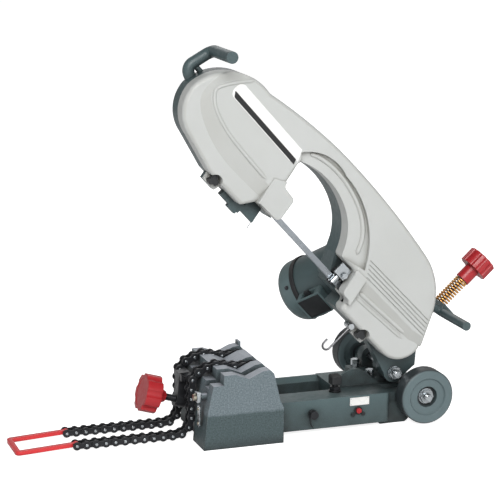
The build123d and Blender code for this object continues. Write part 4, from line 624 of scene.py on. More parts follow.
@dataclass
class Bench:
    """Starts, shapes and settles new pieces, drawn in millimetres about their own origin."""

    paint: Paintwork
    sharp: float = 40.0
    facing: float = 0.9
    bead_end: float = 0.3

    def focus(self, *pieces: Piece) -> None:
        """Select only these pieces and make the first one active.

        Args:
            *pieces: The pieces to select.
        """
        if bpy.context.mode != "OBJECT":
            self.done()
        bpy.ops.object.select_all(action="DESELECT")
        for piece in pieces:
            piece.select_set(True)
        bpy.context.view_layer.objects.active = pieces[0]

    def fix(self) -> None:
        """Put the place of what is selected into its mesh."""
        bpy.ops.object.transform_apply(location=True, rotation=True, scale=True)

    def named(self, name: str, size: Spot = (1.0, 1.0, 1.0)) -> Piece:
        """Name and size the piece that was just added, and put its place into its mesh.

        Args:
            name: Name of the piece.
            size: How it is scaled.

        Returns:
            The piece.
        """
        piece = bpy.context.active_object
        piece.name = name
        piece.data.name = name
        piece.scale = size
        self.fix()
        return piece

    def box(self, name: str, low: Spot, high: Spot) -> Piece:
        """Add a block between two corners.

        Args:
            name: Name of the piece.
            low: Its lowest corner.
            high: Its highest corner.

        Returns:
            The block.
        """
        bpy.ops.object.select_all(action="DESELECT")
        bpy.ops.mesh.primitive_cube_add(size=1.0, location=[(a + b) / 2 for a, b in zip(low, high)])
        return self.named(name, tuple(b - a for a, b in zip(low, high)))

    def rod(self, name: str, radius: float, low: float, high: float, sides: int = 32,
            edge: float = 0.0) -> Piece:
        """Add a round or many-sided bar along the piece's own Z.

        Args:
            name: Name of the piece.
            radius: Radius of the bar.
            low: Where it starts.
            high: Where it ends.
            sides: How many sides it has.
            edge: Width of the rounding at its ends.

        Returns:
            The bar.
        """
        bpy.ops.object.select_all(action="DESELECT")
        middle = (0.0, 0.0, (low + high) / 2)
        bpy.ops.mesh.primitive_cylinder_add(vertices=sides, radius=radius, depth=high - low, location=middle)
        bar = self.named(name)
        if edge:
            self.soften(bar, edge)
        return bar

    def plate(self, name: str, low: Pair, high: Pair) -> Piece:
        """Add a flat sheet in the piece's own XY plane.

        Args:
            name: Name of the piece.
            low: Its lower left corner.
            high: Its upper right corner.

        Returns:
            The sheet.
        """
        bpy.ops.object.select_all(action="DESELECT")
        middle = ((low[0] + high[0]) / 2, (low[1] + high[1]) / 2, 0.0)
        bpy.ops.mesh.primitive_plane_add(size=1.0, location=middle)
        return self.named(name, (high[0] - low[0], high[1] - low[1], 1.0))

    def ring(self, name: str, radius: float, sides: int, spot: Spot, turn: Spot = (0.0, 0.0, 0.0),
             filled: bool = True, flat: float = 1.0) -> Piece:
        """Add a round outline that a wire or a bead is drawn from.

        Args:
            name: Name of the piece.
            radius: Radius of the outline.
            sides: How many corners it has.
            spot: Where its middle is.
            turn: How it is turned, in radians.
            filled: Whether it is a face or only an edge.
            flat: Share of its height that is kept.

        Returns:
            The outline.
        """
        bpy.ops.object.select_all(action="DESELECT")
        fill = "NGON" if filled else "NOTHING"
        bpy.ops.mesh.primitive_circle_add(vertices=sides, radius=radius, fill_type=fill, location=spot,
                                          rotation=turn)
        return self.named(name, (1.0, flat, 1.0))

    def pick(self, piece: Piece, kind: Pick, test: Callable[[Vector, Vector], bool]) -> None:
        """Select part of a piece by place and direction, and stay in edit mode.

        Args:
            piece: The piece to select on.
            kind: Whether corners, edges or faces are chosen.
            test: Takes the middle of an element and its normal, or an edge's direction.
        """
        self.focus(piece)
        mesh = piece.data
        bpy.ops.object.mode_set(mode="EDIT")
        bpy.ops.mesh.select_mode(type=kind.value)
        bpy.ops.mesh.select_all(action="DESELECT")
        self.done()
        if kind is Pick.FACES:
            for face in mesh.polygons:
                face.select = test(face.center, face.normal)
        elif kind is Pick.EDGES:
            for edge in mesh.edges:
                start, end = (mesh.vertices[corner].co for corner in edge.vertices)
                edge.select = test((start + end) / 2, (end - start).normalized())
        else:
            for corner in mesh.vertices:
                corner.select = test(corner.co, corner.normal)
        bpy.ops.object.mode_set(mode="EDIT")

    def done(self) -> None:
        """Leave edit mode."""
        bpy.ops.object.mode_set(mode="OBJECT")

    def push(self, way: Spot) -> None:
        """Extrude what is selected along a way."""
        bpy.ops.mesh.extrude_region_move(TRANSFORM_OT_translate={"value": way})

    def end(self, piece: Piece, side: float) -> None:
        """Select the upper end face of a piece for side 1, or the lower for -1, and stay in edit mode."""
        self.pick(piece, Pick.FACES, lambda co, way: way.z * side > self.facing)

    def taper(self, piece: Piece, side: float, share: Pair, level: float) -> None:
        """Scale an end face along X and Y about a level on the piece's own Z, and stay in edit mode."""
        self.end(piece, side)
        bpy.ops.transform.resize(value=(*share, 1.0), center_override=(0.0, 0.0, level))

    def shape(self, piece: Piece, kind: str, **settings: object) -> None:
        """Shape a piece with a modifier and apply it.

        Args:
            piece: The piece to shape.
            kind: Type name of the modifier.
            **settings: Settings of the modifier by name.
        """
        change = piece.modifiers.new(kind.lower(), kind)
        for name, value in settings.items():
            setattr(change, name, value)
        self.focus(piece)
        bpy.ops.object.modifier_apply(modifier=change.name)

    def soften(self, piece: Piece, width: float = 0.3, segments: int = 1) -> None:
        """Round the sharp edges of a piece a little."""
        self.shape(piece, "BEVEL", width=width, segments=segments, limit_method="ANGLE",
                   angle_limit=math.radians(self.sharp))

    def weld(self, *pieces: Piece) -> Piece:
        """Unite overlapping solids.

        Args:
            *pieces: The solids.

        Returns:
            The first one, which takes in the others.
        """
        first = pieces[0]
        for other in pieces[1:]:
            self.shape(first, "BOOLEAN", object=other, operation="UNION", solver="EXACT")
            bpy.data.objects.remove(other)
        return first

    def cut(self, piece: Piece, tool: Piece) -> None:
        """Cut one solid out of another."""
        self.shape(piece, "BOOLEAN", object=tool, operation="DIFFERENCE", solver="EXACT")
        bpy.data.objects.remove(tool)

    def wind(self, piece: Piece, axis: str, steps: int, turns: int, pitch: float) -> None:
        """Wind an outline about an axis into a thread or a coil, with so many steps to a turn."""
        self.shape(piece, "SCREW", axis=axis, angle=2 * math.pi, steps=steps, render_steps=steps,
                   iterations=turns, screw_offset=pitch, use_merge_vertices=False)

    def thread(self, name: str, core: float, crest: float, pitch: float, length: float) -> Piece:
        """Wind a threaded bar along the piece's own Z.

        Args:
            name: Name of the piece.
            core: Radius at the foot of the thread.
            crest: Radius at its crest.
            pitch: Rise of one turn.
            length: Length of the bar.

        Returns:
            The closed bar, standing on the XY plane.
        """
        bar = self.plate(name, (core, 0.0), (crest, pitch))
        self.pick(bar, Pick.CORNERS, lambda co, way: co.x > (core + crest) / 2)
        bpy.ops.mesh.merge(type="CENTER")
        bpy.ops.mesh.select_all(action="SELECT")
        bpy.ops.mesh.delete(type="ONLY_FACE")
        self.pick(bar, Pick.EDGES, lambda co, way: abs(way.y) > 0.99)
        bpy.ops.mesh.delete(type="EDGE")
        self.done()
        self.wind(bar, "Y", 24, int(length / pitch), pitch)
        self.heal(bar)
        bar.matrix_world = FACE
        self.focus(bar)
        self.fix()
        return bar

    def bead(self, name: str, path: list[Vector], width: float, rise: float) -> Piece:
        """Draw a rounded bead along a flat path in the piece's own XY plane, thin at both ends.

        Args:
            name: Name of the piece.
            path: Points of the path.
            width: Width of the bead.
            rise: Its height over the plane.

        Returns:
            The closed bead.
        """
        ways = [(after - before).normalized() for before, after in zip(path, path[1:])]
        heading = math.atan2(ways[0].y, ways[0].x)
        bead = self.ring(name, width / 2 * self.bead_end, 14, path[0],
                         (math.pi / 2, 0.0, heading + math.pi / 2), flat=2 * rise / width)
        self.pick(bead, Pick.FACES, lambda co, way: True)
        for step, (before, after) in enumerate(zip(path, path[1:])):
            self.push(tuple(after - before))
            if step == 0:
                bpy.ops.transform.resize(value=(1 / self.bead_end,) * 3, center_override=tuple(after))
            if step + 1 < len(ways):
                turn = ways[step].xy.angle_signed(ways[step + 1].xy)
                bpy.ops.transform.rotate(value=turn, orient_axis="Z", orient_type="GLOBAL",
                                         center_override=tuple(after))
        bpy.ops.transform.resize(value=(self.bead_end,) * 3, center_override=tuple(path[-1]))
        self.done()
        self.heal(bead)
        return bead

    def slotted(self, name: str, radius: float, ends: Pair, sides: int, slot: Pair) -> Piece:
        """Turn a slotted screw head along the piece's own Z.

        Args:
            name: Name of the piece.
            radius: Radius of the head.
            ends: Where the head starts and ends.
            sides: How many sides it has.
            slot: Half the width of the slot and the height of its floor.

        Returns:
            The screw head.
        """
        head = self.rod(name, radius, *ends, sides)
        half, floor = slot
        out, top = 2 * radius, ends[1] + radius
        self.cut(head, self.box("screw_slot", (-out, -half, floor), (out, half, top)))
        self.soften(head)
        return head

    def heal(self, piece: Piece) -> None:
        """Merge doubled corners, close open ends and turn every face outwards.

        Args:
            piece: The piece.
        """
        self.focus(piece)
        bpy.ops.object.mode_set(mode="EDIT")
        bpy.ops.mesh.select_all(action="SELECT")
        bpy.ops.mesh.remove_doubles(threshold=0.01)
        bpy.ops.mesh.fill_holes(sides=0)
        bpy.ops.mesh.normals_make_consistent(inside=False)
        self.done()

    def join(self, *pieces: Piece) -> Piece:
        """Join pieces, each as its own shell.

        Args:
            *pieces: The pieces.

        Returns:
            The first one, which takes in the others.
        """
        self.focus(*pieces)
        if len(pieces) > 1:
            bpy.ops.object.join()
        return pieces[0]

    def copies(self, piece: Piece, places: list[Matrix]) -> Piece:
        """Copy a modelled shape to every place and join the copies.

        Args:
            piece: The shape, drawn about its own origin.
            places: Where each copy goes.

        Returns:
            One piece with all the copies.
        """
        name = piece.name
        made = []
        for place in places:
            twin = piece.copy()
            twin.data = piece.data.copy()
            bpy.context.scene.collection.objects.link(twin)
            twin.matrix_world = place
            made.append(twin)
        bpy.data.objects.remove(piece)
        self.focus(*made)
        self.fix()
        whole = self.join(*made)
        whole.name = name
        whole.data.name = name
        return whole

    def settle(self, piece: Piece, place: Matrix, body: str, slot: str, angle: float = 35.0,
               finish: str = "") -> None:
        """Put a piece in its place in the frame and give it its finish.

        Args:
            piece: The piece, drawn in millimetres.
            place: Where its origin goes in the frame.
            body: The body that it rides on.
            slot: The material slot that it takes its finish from.
            angle: Edges sharper than this stay crisp.
            finish: Another finish than the slot's own, by name.
        """
        self.focus(piece)
        piece.matrix_world = place
        self.fix()
        bpy.ops.object.shade_smooth_by_angle(angle=math.radians(angle))
        piece.data.materials.clear()
        self.paint.coat(piece, finish or slot)
        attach(piece, body)
        log.info("piece %s on %s", piece.name, body)


@dataclass(frozen=True)
class Film:
    """One film on the cover, cut to shape on the arm.

    The upper left and right corners are moved left by set_back, the left ones are rounded by corner, and lift
    is the height of the film's underside over the cover.
    """

    name: str
    low: Pair
    high: Pair
    set_back: Pair
    corner: float
    lift: float
    slot: str
    finish: str


@dataclass
class CoverDressing:
    """Plain panel and stripe on the upper end of the wheel cover."""

    bench: Bench
    panel: Film = Film("cover_panel", (-566.0, 101.6), (-401.6, 128.2), (0.0, 14.0), 11.0, 0.05,
                       "cover_plastic", "panel_film")
    stripe: Film = Film("cover_stripe", (-556.0, 102.7), (-408.5, 111.0), (6.8, 3.4), 2.0, 0.2,
                        "black_plastic", "stripe_film")
    lean: float = -0.69
    stand: float = 60.0
    thick: float = 0.3

    def build(self) -> None:
        """Lay the panel on the cover and the stripe on the panel."""
        for film in (self.panel, self.stripe):
            self.lay(film)

    def lay(self, film: Film) -> None:
        """Cut one film to shape, press it on the cover and give it thickness.

        Args:
            film: The film.
        """
        sheet = self.bench.plate(film.name, film.low, film.high)
        across, rise = ((low + high) / 2 for low, high in zip(film.low, film.high))
        for side, back in zip((-1.0, 1.0), film.set_back):
            self.bench.pick(sheet, Pick.CORNERS, lambda co, way: (co.x - across) * side > 0 and co.y > rise)
            bpy.ops.transform.translate(value=(-back, 0.0, 0.0))
        self.bench.pick(sheet, Pick.CORNERS, lambda co, way: co.x < across)
        bpy.ops.mesh.bevel(offset=film.corner, segments=8, affect="VERTICES")
        bpy.ops.mesh.select_all(action="SELECT")
        bpy.ops.mesh.quads_convert_to_tris()
        bpy.ops.mesh.subdivide(number_cuts=7)
        self.bench.done()
        self.bench.focus(sheet)
        middle = Vector((across, -self.stand, rise))
        leaning = ARM @ at(*middle) @ turned(-self.lean, "Y") @ at(*(-middle))
        sheet.matrix_world = leaning @ at(0.0, -self.stand, 0.0) @ FACE
        self.bench.fix()
        self.bench.shape(sheet, "SHRINKWRAP", target=frame["nodes"]["wheel_cover"], wrap_method="PROJECT",
                         use_project_x=False, use_project_y=True, use_project_z=False,
                         use_positive_direction=True, use_negative_direction=False, offset=film.lift * MM)
        self.bench.shape(sheet, "SOLIDIFY", thickness=self.thick * MM, offset=1.0)
        self.bench.settle(sheet, Matrix.Identity(4), "saw_arm", film.slot, finish=film.finish)


@dataclass
class CoverBeads:
    """Raised beads on the cover: round the throat, round the upper wheel and along the lower end."""

    bench: Bench
    throat: Path = ((-398.0, 134.0), (-383.0, 141.0), (-355.0, 146.5), (-324.5, 146.4), (-292.0, 140.5),
                    (-266.4, 131.5), (-245.0, 118.4), (-230.0, 102.5), (-219.0, 81.0))
    wheel: Path = ((-552.0, 144.0), (-570.0, 122.0), (-583.0, 101.0), (-584.0, 87.0), (-563.0, 70.5),
                   (-522.0, 59.5), (-470.0, 56.0), (-424.0, 54.5))
    foot: Path = ((-168.0, 42.6), (-140.0, 45.0), (-110.0, 47.6), (-56.0, 52.2))
    foot_step: Pair = (2.0, -9.6)
    lip_level: float = -20.0
    face_level: float = -28.0
    broad: Pair = (8.0, 3.0)
    slim: Pair = (6.0, 2.0)
    steps: int = 6

    def build(self) -> None:
        """Lay the beads on the cover."""
        lower = tuple((along + self.foot_step[0], rise + self.foot_step[1]) for along, rise in self.foot)
        self.lay("throat_bead", self.throat, self.broad, self.lip_level)
        self.lay("wheel_bead", self.wheel, self.slim, self.face_level)
        self.lay("foot_bead", self.foot, self.broad, self.lip_level)
        self.lay("edge_bead", lower, self.slim, self.lip_level)

    def lay(self, name: str, points: Path, size: Pair, level: float) -> None:
        """Draw one bead through its points and set it on the cover."""
        bead = self.bench.bead(name, self.smooth(points), *size)
        self.bench.settle(bead, ARM @ at(0.0, level, 0.0) @ FACE, "saw_arm", "cover_plastic", 60.0)

    def smooth(self, points: Path) -> list[Vector]:
        """Draw a smooth curve through points.

        Args:
            points: The points on the arm.

        Returns:
            Closely set points on the curve.
        """
        spots = [Vector((*point, 0.0)) for point in points]
        spots = [2 * spots[0] - spots[1], *spots, 2 * spots[-1] - spots[-2]]
        path = []
        for first, start, end, last in zip(spots, spots[1:], spots[2:], spots[3:]):
            ahead, beyond = (end - first) / 2, (last - start) / 2
            for step in range(self.steps):
                share = step / self.steps
                square, cube = share**2, share**3
                path.append(start * (2 * cube - 3 * square + 1) + ahead * (cube - 2 * square + share)
                            + end * (3 * square - 2 * cube) + beyond * (cube - square))
        return [*path, spots[-2]]


@dataclass
class FrameSkirt:
    """Stepped flange of the arm's casting below the upper end of the cover, with a bent wire."""

    bench: Bench
    near: float = 9.0
    far: float = 24.0
    long_bar: Bar = (-446.0, -403.0, -11.0, 6.0)
    ear: Bar = (-424.0, -406.0, -15.5, -9.0)
    end_bar: Bar = (-405.0, -374.0, -5.0, 22.0)
    step_back: float = 2.0
    lean: float = 5.5
    round: float = 1.2
    wire: float = 0.7
    wire_way: Path = ((-374.6, -3.0), (-371.2, -15.8), (-356.4, -14.9))

    def build(self) -> None:
        """Make the flange and its wire."""
        names = ("frame_skirt", "skirt_ear", "skirt_tip")
        bars = []
        for step, (name, size) in enumerate(zip(names, (self.long_bar, self.ear, self.end_bar))):
            start, end, low, high = size
            far = self.far - step * self.step_back
            bars.append(self.bench.box(name, (start, self.near, low), (end, far, high)))
        end, top = self.end_bar[1] - SPARE, self.end_bar[3] - SPARE
        self.bench.pick(bars[-1], Pick.CORNERS, lambda co, way: co.x > end and co.z > top)
        bpy.ops.transform.translate(value=(-self.lean, 0.0, 0.0))
        self.bench.done()
        skirt = self.bench.weld(*bars)
        self.bench.soften(skirt, self.round, 2)
        self.bench.settle(skirt, ARM, "saw_arm", "arm_paint")
        self.bend()

    def bend(self) -> None:
        """Bend the wire from the end of the flange."""
        along, rise = self.wire_way[0]
        wire = self.bench.ring("skirt_wire", self.wire, 10, (along, (self.near + self.far) / 2, rise))
        self.bench.pick(wire, Pick.FACES, lambda co, way: True)
        for last, step in zip(self.wire_way, self.wire_way[1:]):
            self.bench.push((step[0] - last[0], 0.0, step[1] - last[1]))
        self.bench.done()
        self.bench.heal(wire)
        self.bench.settle(wire, ARM, "saw_arm", "bright_steel", 50.0)


@dataclass
class ChainDressing:
    """Roller chains: waisted plates, round rollers and bright riveted pins, link for link.

    Corners of the CAD mesh that fall on one point of a grid, in steps per metre, count as one.
    """

    bench: Bench
    pitch: float = 15.875
    eye: float = 6.9
    waist: float = 4.6
    thick: float = 2.0
    roller: float = 5.08
    roller_gap: float = 0.15
    roller_edge: float = 0.4
    length: float = 9.4
    pin: float = 2.5
    pin_gap: float = 0.02
    pin_edge: float = 0.3
    head: float = 1.2
    head_round: float = 0.55
    wide: float = 6.0
    grid: float = 20000.0

    def build(self) -> None:
        """Replace both chain nodes."""
        for node, body in (("chains", "base"), ("chain_tails", "chain_tails")):
            inner, outer, bare = self.links(node)
            self.string(node, body, inner, outer)
            if bare:
                pins = self.bench.copies(self.long_pin(f"{node}_end_pins"), bare)
                self.bench.settle(pins, MM_FRAME, body, "bright_steel", 60.0)

    def links(self, node: str) -> tuple[list[Matrix], list[Matrix], list[Matrix]]:
        """Find every link of a chain node from its separate solids.

        Args:
            node: Name of the CAD node.

        Returns:
            Places of the inner links, of the outer plates and of bare pins, in millimetres.
        """
        inner, outer, bare = [], [], []
        for points in self.solids(node):
            place, width, reach = self.lie(points)
            kind = bare if reach < self.pitch else inner if width > self.wide else outer
            kind.append(place)
        return inner, outer, bare

    def solids(self, node: str) -> list[list[Vector]]:
        """Sort the corners of a chain node by the solid that they belong to.

        Args:
            node: Name of the CAD node.

        Returns:
            The corners of each solid, in millimetres.
        """
        mesh = frame["nodes"][node].data
        owner: dict[tuple[int, ...], int] = {}
        group = list(range(len(mesh.vertices)))

        def root(index: int) -> int:
            """Follow a corner to the first one of its solid.

            Args:
                index: Number of the corner.

            Returns:
                Number of the first corner.
            """
            while group[index] != index:
                group[index] = group[group[index]]
                index = group[index]
            return index

        for corner in mesh.vertices:
            spot = tuple(round(part * self.grid) for part in corner.co)
            group[root(corner.index)] = root(owner.setdefault(spot, corner.index))
        for face in mesh.polygons:
            first = root(face.vertices[0])
            for corner in face.vertices[1:]:
                group[root(corner)] = first
        found: dict[int, list[Vector]] = {}
        for corner in mesh.vertices:
            found.setdefault(root(corner.index), []).append(corner.co / MM)
        return list(found.values())

    def lie(self, points: list[Vector]) -> tuple[Matrix, float, float]:
        """Find how one solid of a chain lies.

        Args:
            points: Its corners in millimetres.

        Returns:
            Its place, with X along the link and Z across the chain, its width and its length.
        """
        low = min(point.y for point in points)
        high = max(point.y for point in points)
        spots = {(round(point.x, 2), round(point.z, 2)) for point in points}
        spread = Vector((sum(a[0] for a in spots), sum(a[1] for a in spots))) / len(spots)
        xx = sum((a[0] - spread.x) ** 2 for a in spots)
        zz = sum((a[1] - spread.y) ** 2 for a in spots)
        xz = sum((a[0] - spread.x) * (a[1] - spread.y) for a in spots)
        angle = math.degrees(0.5 * math.atan2(2 * xz, xx - zz))
        way = Vector((math.cos(math.radians(angle)), math.sin(math.radians(angle))))
        ends = [Vector(a).dot(way) for a in spots]
        middle = spread + way * ((min(ends) + max(ends)) / 2 - spread.dot(way))
        place = at(middle.x, (low + high) / 2, middle.y) @ turned(-angle, "Y") @ FACE
        return place, high - low, max(ends) - min(ends)

    def string(self, node: str, body: str, inner: list[Matrix], outer: list[Matrix]) -> None:
        """Hang plates, rollers and pins at every link.

        Args:
            node: CAD node that they replace.
            body: Body that they ride on.
            inner: Places of the inner links.
            outer: Places of the outer plates.
        """
        half = self.length / 2
        sides = (half, -half - self.thick)
        ends = (-self.pitch / 2, self.pitch / 2)
        plates = [place @ at(0.0, 0.0, step) for place in inner for step in sides]
        rollers = [place @ at(x, 0.0, 0.0) for place in inner for x in ends]
        strand = [place.translation.y for place in inner]
        heads = []
        for place in outer:
            near = min(strand, key=lambda y: abs(y - place.translation.y))
            outwards = 1.0 if place.translation.y < near else -1.0
            turn = turned(0.0 if outwards > 0 else 180.0, "X")
            plates.append(place @ at(0.0, 0.0, -self.thick / 2 - outwards * self.head / 2))
            for x in ends:
                heads.append(place @ at(x, 0.0, 0.0) @ turn @ at(0.0, 0.0, self.thick / 2 - self.head / 2))
        links = self.bench.copies(self.side_plate(f"{node}_plates"), plates)
        self.bench.settle(links, MM_FRAME, body, "chain_steel")
        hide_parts(node)
        drums = self.bench.copies(self.drum(f"{node}_rollers"), rollers)
        self.bench.settle(drums, MM_FRAME, body, "chain_steel")
        pins = self.bench.copies(self.rivet(f"{node}_pins"), heads)
        self.bench.settle(pins, MM_FRAME, body, "bright_steel", 60.0)

    def side_plate(self, name: str) -> Piece:
        """Model one waisted plate.

        Args:
            name: Name of the piece.

        Returns:
            The plate, its underside on the XY plane.
        """
        half = self.pitch / 2
        eyes = []
        for x in (-half, half):
            eye = self.bench.rod(f"{name}_eye", self.eye, 0.0, self.thick, 20)
            self.bench.focus(eye)
            eye.location = (x, 0.0, 0.0)
            self.bench.fix()
            eyes.append(eye)
        web = self.bench.box(name, (-half, -self.waist, 0.0), (half, self.waist, self.thick))
        plate = self.bench.weld(web, *eyes)
        self.bench.soften(plate)
        return plate

    def drum(self, name: str) -> Piece:
        """Model one roller about the middle of its pin."""
        half = self.length / 2 - self.roller_gap
        return self.bench.rod(name, self.roller, -half, half, 16, self.roller_edge)

    def long_pin(self, name: str) -> Piece:
        """Model the pin that a bail eye turns on, between its two plates."""
        half = self.length / 2 + self.thick
        return self.bench.rod(name, self.pin - self.pin_gap, -half, half, 20, self.pin_edge)

    def rivet(self, name: str) -> Piece:
        """Model one riveted pin head.

        Args:
            name: Name of the piece.

        Returns:
            The head, standing on the XY plane.
        """
        rivet = self.bench.rod(name, self.pin, 0.0, self.head, 10)
        self.bench.end(rivet, 1.0)
        bpy.ops.mesh.bevel(offset=self.head_round, segments=2, affect="EDGES")
        self.bench.done()
        return rivet


@dataclass
class SpringDressing:
    """Load spring: round wire, closed turns at both ends."""

    bench: Bench
    seat: Spot = (12.0, 100.0, 146.0)
    length: float = 57.0
    radius: float = 10.5
    wire: float = 1.6
    gap: float = 0.1
    turns: int = 11
    keep: float = 0.80

    def build(self) -> None:
        """Wind the spring and set it on the load rod."""
        low = self.wire
        close = 2 * self.wire + self.gap
        open_rise = self.length - 2 * self.wire - 2 * close
        free = self.turns - 2
        coils = [self.coil("balance_spring_wire", low, close, 1),
                 self.coil("coil_middle", low + close, open_rise / free, free),
                 self.coil("coil_top", low + close + open_rise, close, 1)]
        spring = self.bench.join(*coils)
        self.bench.heal(spring)
        self.bench.settle(spring, ARM @ at(*self.seat), "load_rod", "spring_zinc", 60.0)
        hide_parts("balance_spring")
        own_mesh(spring)

    def coil(self, name: str, start: float, pitch: float, turns: int) -> Piece:
        """Wind some turns of wire.

        Args:
            name: Name of the piece.
            start: Height of the wire's middle at the start.
            pitch: Rise of one turn.
            turns: How many turns.

        Returns:
            The open tube of wire.
        """
        spot = (self.radius, 0.0, start)
        wire = self.bench.ring(name, self.wire, 10, spot, (math.pi / 2, 0.0, 0.0), filled=False)
        self.bench.wind(wire, "Z", 28, turns, pitch)
        return wire


@dataclass
class BladeTeeth:
    """The toothed edge of the band between the two guides."""

    bench: Bench
    edge: float = 24.0
    start: float = -395.0
    end: float = -198.0
    pitch: float = 1.8
    height: float = 1.1
    sunk: float = 0.1
    thick: float = 0.65
    tip: float = 0.12

    def build(self) -> None:
        """Cut one raked tooth and repeat it along the edge."""
        half = self.thick / 2
        tooth = self.bench.box("blade_teeth", (0.0, -half, -self.height), (self.pitch, half, self.sunk))
        self.bench.taper(tooth, -1.0, (self.tip, 1.0), -self.height)
        self.bench.done()
        count = int((self.end - self.start) / self.pitch)
        places = [at(self.start + step * self.pitch, 0.0, self.edge) for step in range(count)]
        teeth = self.bench.copies(tooth, places)
        self.bench.settle(teeth, ARM, "saw_arm", "blade_steel", 20.0)


@dataclass
class ViseDressing:
    """Threaded bar of the vise, from inside the block to inside its knob, and the knob itself."""

    bench: Bench
    root: Spot = (-61.0, 78.0, 49.0)
    tilt: float = 16.6
    start: float = -14.0
    length: float = 91.0
    core: float = 5.15
    crest: float = 6.0
    pitch: float = 2.5
    knob_from: float = 64.0
    knob_r: float = 31.0
    knob_t: float = 26.0
    knob_round: float = 2.6
    flutes: int = 7
    flute_r: float = 9.5
    flute_in: float = 3.4
    dish_in: float = 8.0
    dish_deep: float = 0.7
    dish_flare: float = 1.12
    neck_r: float = 13.0
    neck_ends: Pair = (-12.0, 0.4)
    neck_share: float = 0.78
    neck_round: float = 0.6
    collar_in: float = 1.2
    collar: float = 2.5

    def build(self) -> None:
        """Turn the thread, put it in place of the plain bar and add the knob."""
        bar = self.bench.thread("vise_screw_thread", self.core, self.crest, self.pitch, self.length)
        self.bench.settle(bar, self.place() @ at(0.0, 0.0, self.start), "vise_spindle", "chain_steel", 25.0)
        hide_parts("vise_screw")
        self.knob()

    def place(self) -> Matrix:
        """Return the screw's own frame, with Z out of the block along its line."""
        return MM_FRAME @ at(*self.root) @ turned(self.tilt - 90.0, "Y")

    def knob(self) -> None:
        """Mould the fluted knob with its stepped neck."""
        top = self.knob_t
        knob = self.bench.rod("vise_knob_head", self.knob_r, 0.0, top, 96)
        out = at(self.knob_r + self.flute_r - self.flute_in, 0.0, 0.0)
        for step in range(self.flutes):
            flute = self.bench.rod("knob_flute", self.flute_r, -SPARE, top + SPARE, 40)
            flute.matrix_world = turned(360.0 / self.flutes * (step + 0.5), "Z") @ out
            self.bench.cut(knob, flute)
        self.bench.soften(knob, self.knob_round, 4)
        inner = self.knob_r - self.dish_in
        dish = self.bench.rod("knob_dish", inner, top - self.dish_deep, top + 2 * SPARE, 64)
        self.bench.taper(dish, 1.0, (self.dish_flare, self.dish_flare), top)
        self.bench.done()
        self.bench.cut(knob, dish)
        neck = self.bench.rod("knob_neck", self.neck_r, *self.neck_ends, 48)
        self.bench.taper(neck, -1.0, (self.neck_share, self.neck_share), self.neck_ends[0])
        bpy.ops.mesh.inset(thickness=self.collar_in, depth=0.0)
        self.bench.push((0.0, 0.0, -self.collar))
        self.bench.done()
        self.bench.soften(neck, self.neck_round, 2)
        knob = self.bench.join(knob, neck)
        place = self.place() @ at(0.0, 0.0, self.knob_from)
        self.bench.settle(knob, place, "vise_spindle", "red_plastic", 40.0)
        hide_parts("vise_knob")


@dataclass
class BailDressing:
    """Red flat-bar handle on the chain ends, with rolled eyes."""

    bench: Bench
    hinge: Spot = (-266.0, 0.0, 7.7)
    drop: float = 3.21
    length: float = 97.8
    sides: Pair = (40.0, 116.0)
    bar: float = 8.0
    low: float = -2.0
    high: float = 4.6
    eye: float = 5.6
    pin: float = 2.6
    round: float = 0.7

    def build(self) -> None:
        """Bend the bar and put it in place of the plain one."""
        near, far = self.sides
        bail = self.bench.box("bail_bar", (-self.length, near, self.low), (0.0, far, self.high))
        end = SPARE - self.length
        self.bench.pick(bail, Pick.EDGES, lambda co, way: abs(way.z) > self.bench.facing and co.x < end)
        bpy.ops.mesh.bevel(offset=self.bar, segments=6, affect="EDGES")
        self.bench.done()
        inside = self.bench.box("bail_gap", (self.bar - self.length, near + self.bar, self.low - SPARE),
                                (SPARE, far - self.bar, self.high + SPARE))
        self.bench.cut(bail, inside)
        for low in (near, far - self.bar):
            eye = self.bench.rod("bail_eye", self.eye, 0.0, self.bar)
            eye.matrix_world = at(0.0, low + self.bar, 0.0) @ FACE
            bail = self.bench.weld(bail, eye)
        hole = self.bench.rod("bail_hole", self.pin, 0.0, far - near + 2 * SPARE, 24)
        hole.matrix_world = at(0.0, far + SPARE, 0.0) @ FACE
        self.bench.cut(bail, hole)
        self.bench.soften(bail, self.round, 2)
        place = MM_FRAME @ at(*self.hinge) @ turned(-self.drop, "Y")
        self.bench.settle(bail, place, "chain_bail", "red_paint")
        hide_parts("chain_bail")


@dataclass
class StudEnds:
    """Threaded ends of the wheel axle and the pivot shaft in front of their nuts."""

    bench: Bench
    spots: tuple[Spot, ...] = ((318.0, -15.3, 48.5), (273.0, 12.5, 85.0))
    core: float = 5.2
    crest: float = 6.0
    pitch: float = 1.5
    length: float = 7.5
    sunk: float = 0.4
    point: float = 1.4
    share: float = 0.75

    def build(self) -> None:
        """Turn both ends with a plain point."""
        for count, spot in enumerate(self.spots):
            stud = self.bench.thread(f"stud_end_{count + 1}", self.core, self.crest, self.pitch, self.length)
            low, high = self.length - self.sunk, self.length + self.point
            point = self.bench.rod("stud_point", self.core, low, high, 24)
            self.bench.taper(point, 1.0, (self.share, self.share), self.length)
            self.bench.done()
            stud = self.bench.join(stud, point)
            self.bench.settle(stud, MM_FRAME @ at(*spot) @ FACE, "base", "bright_steel", 25.0)


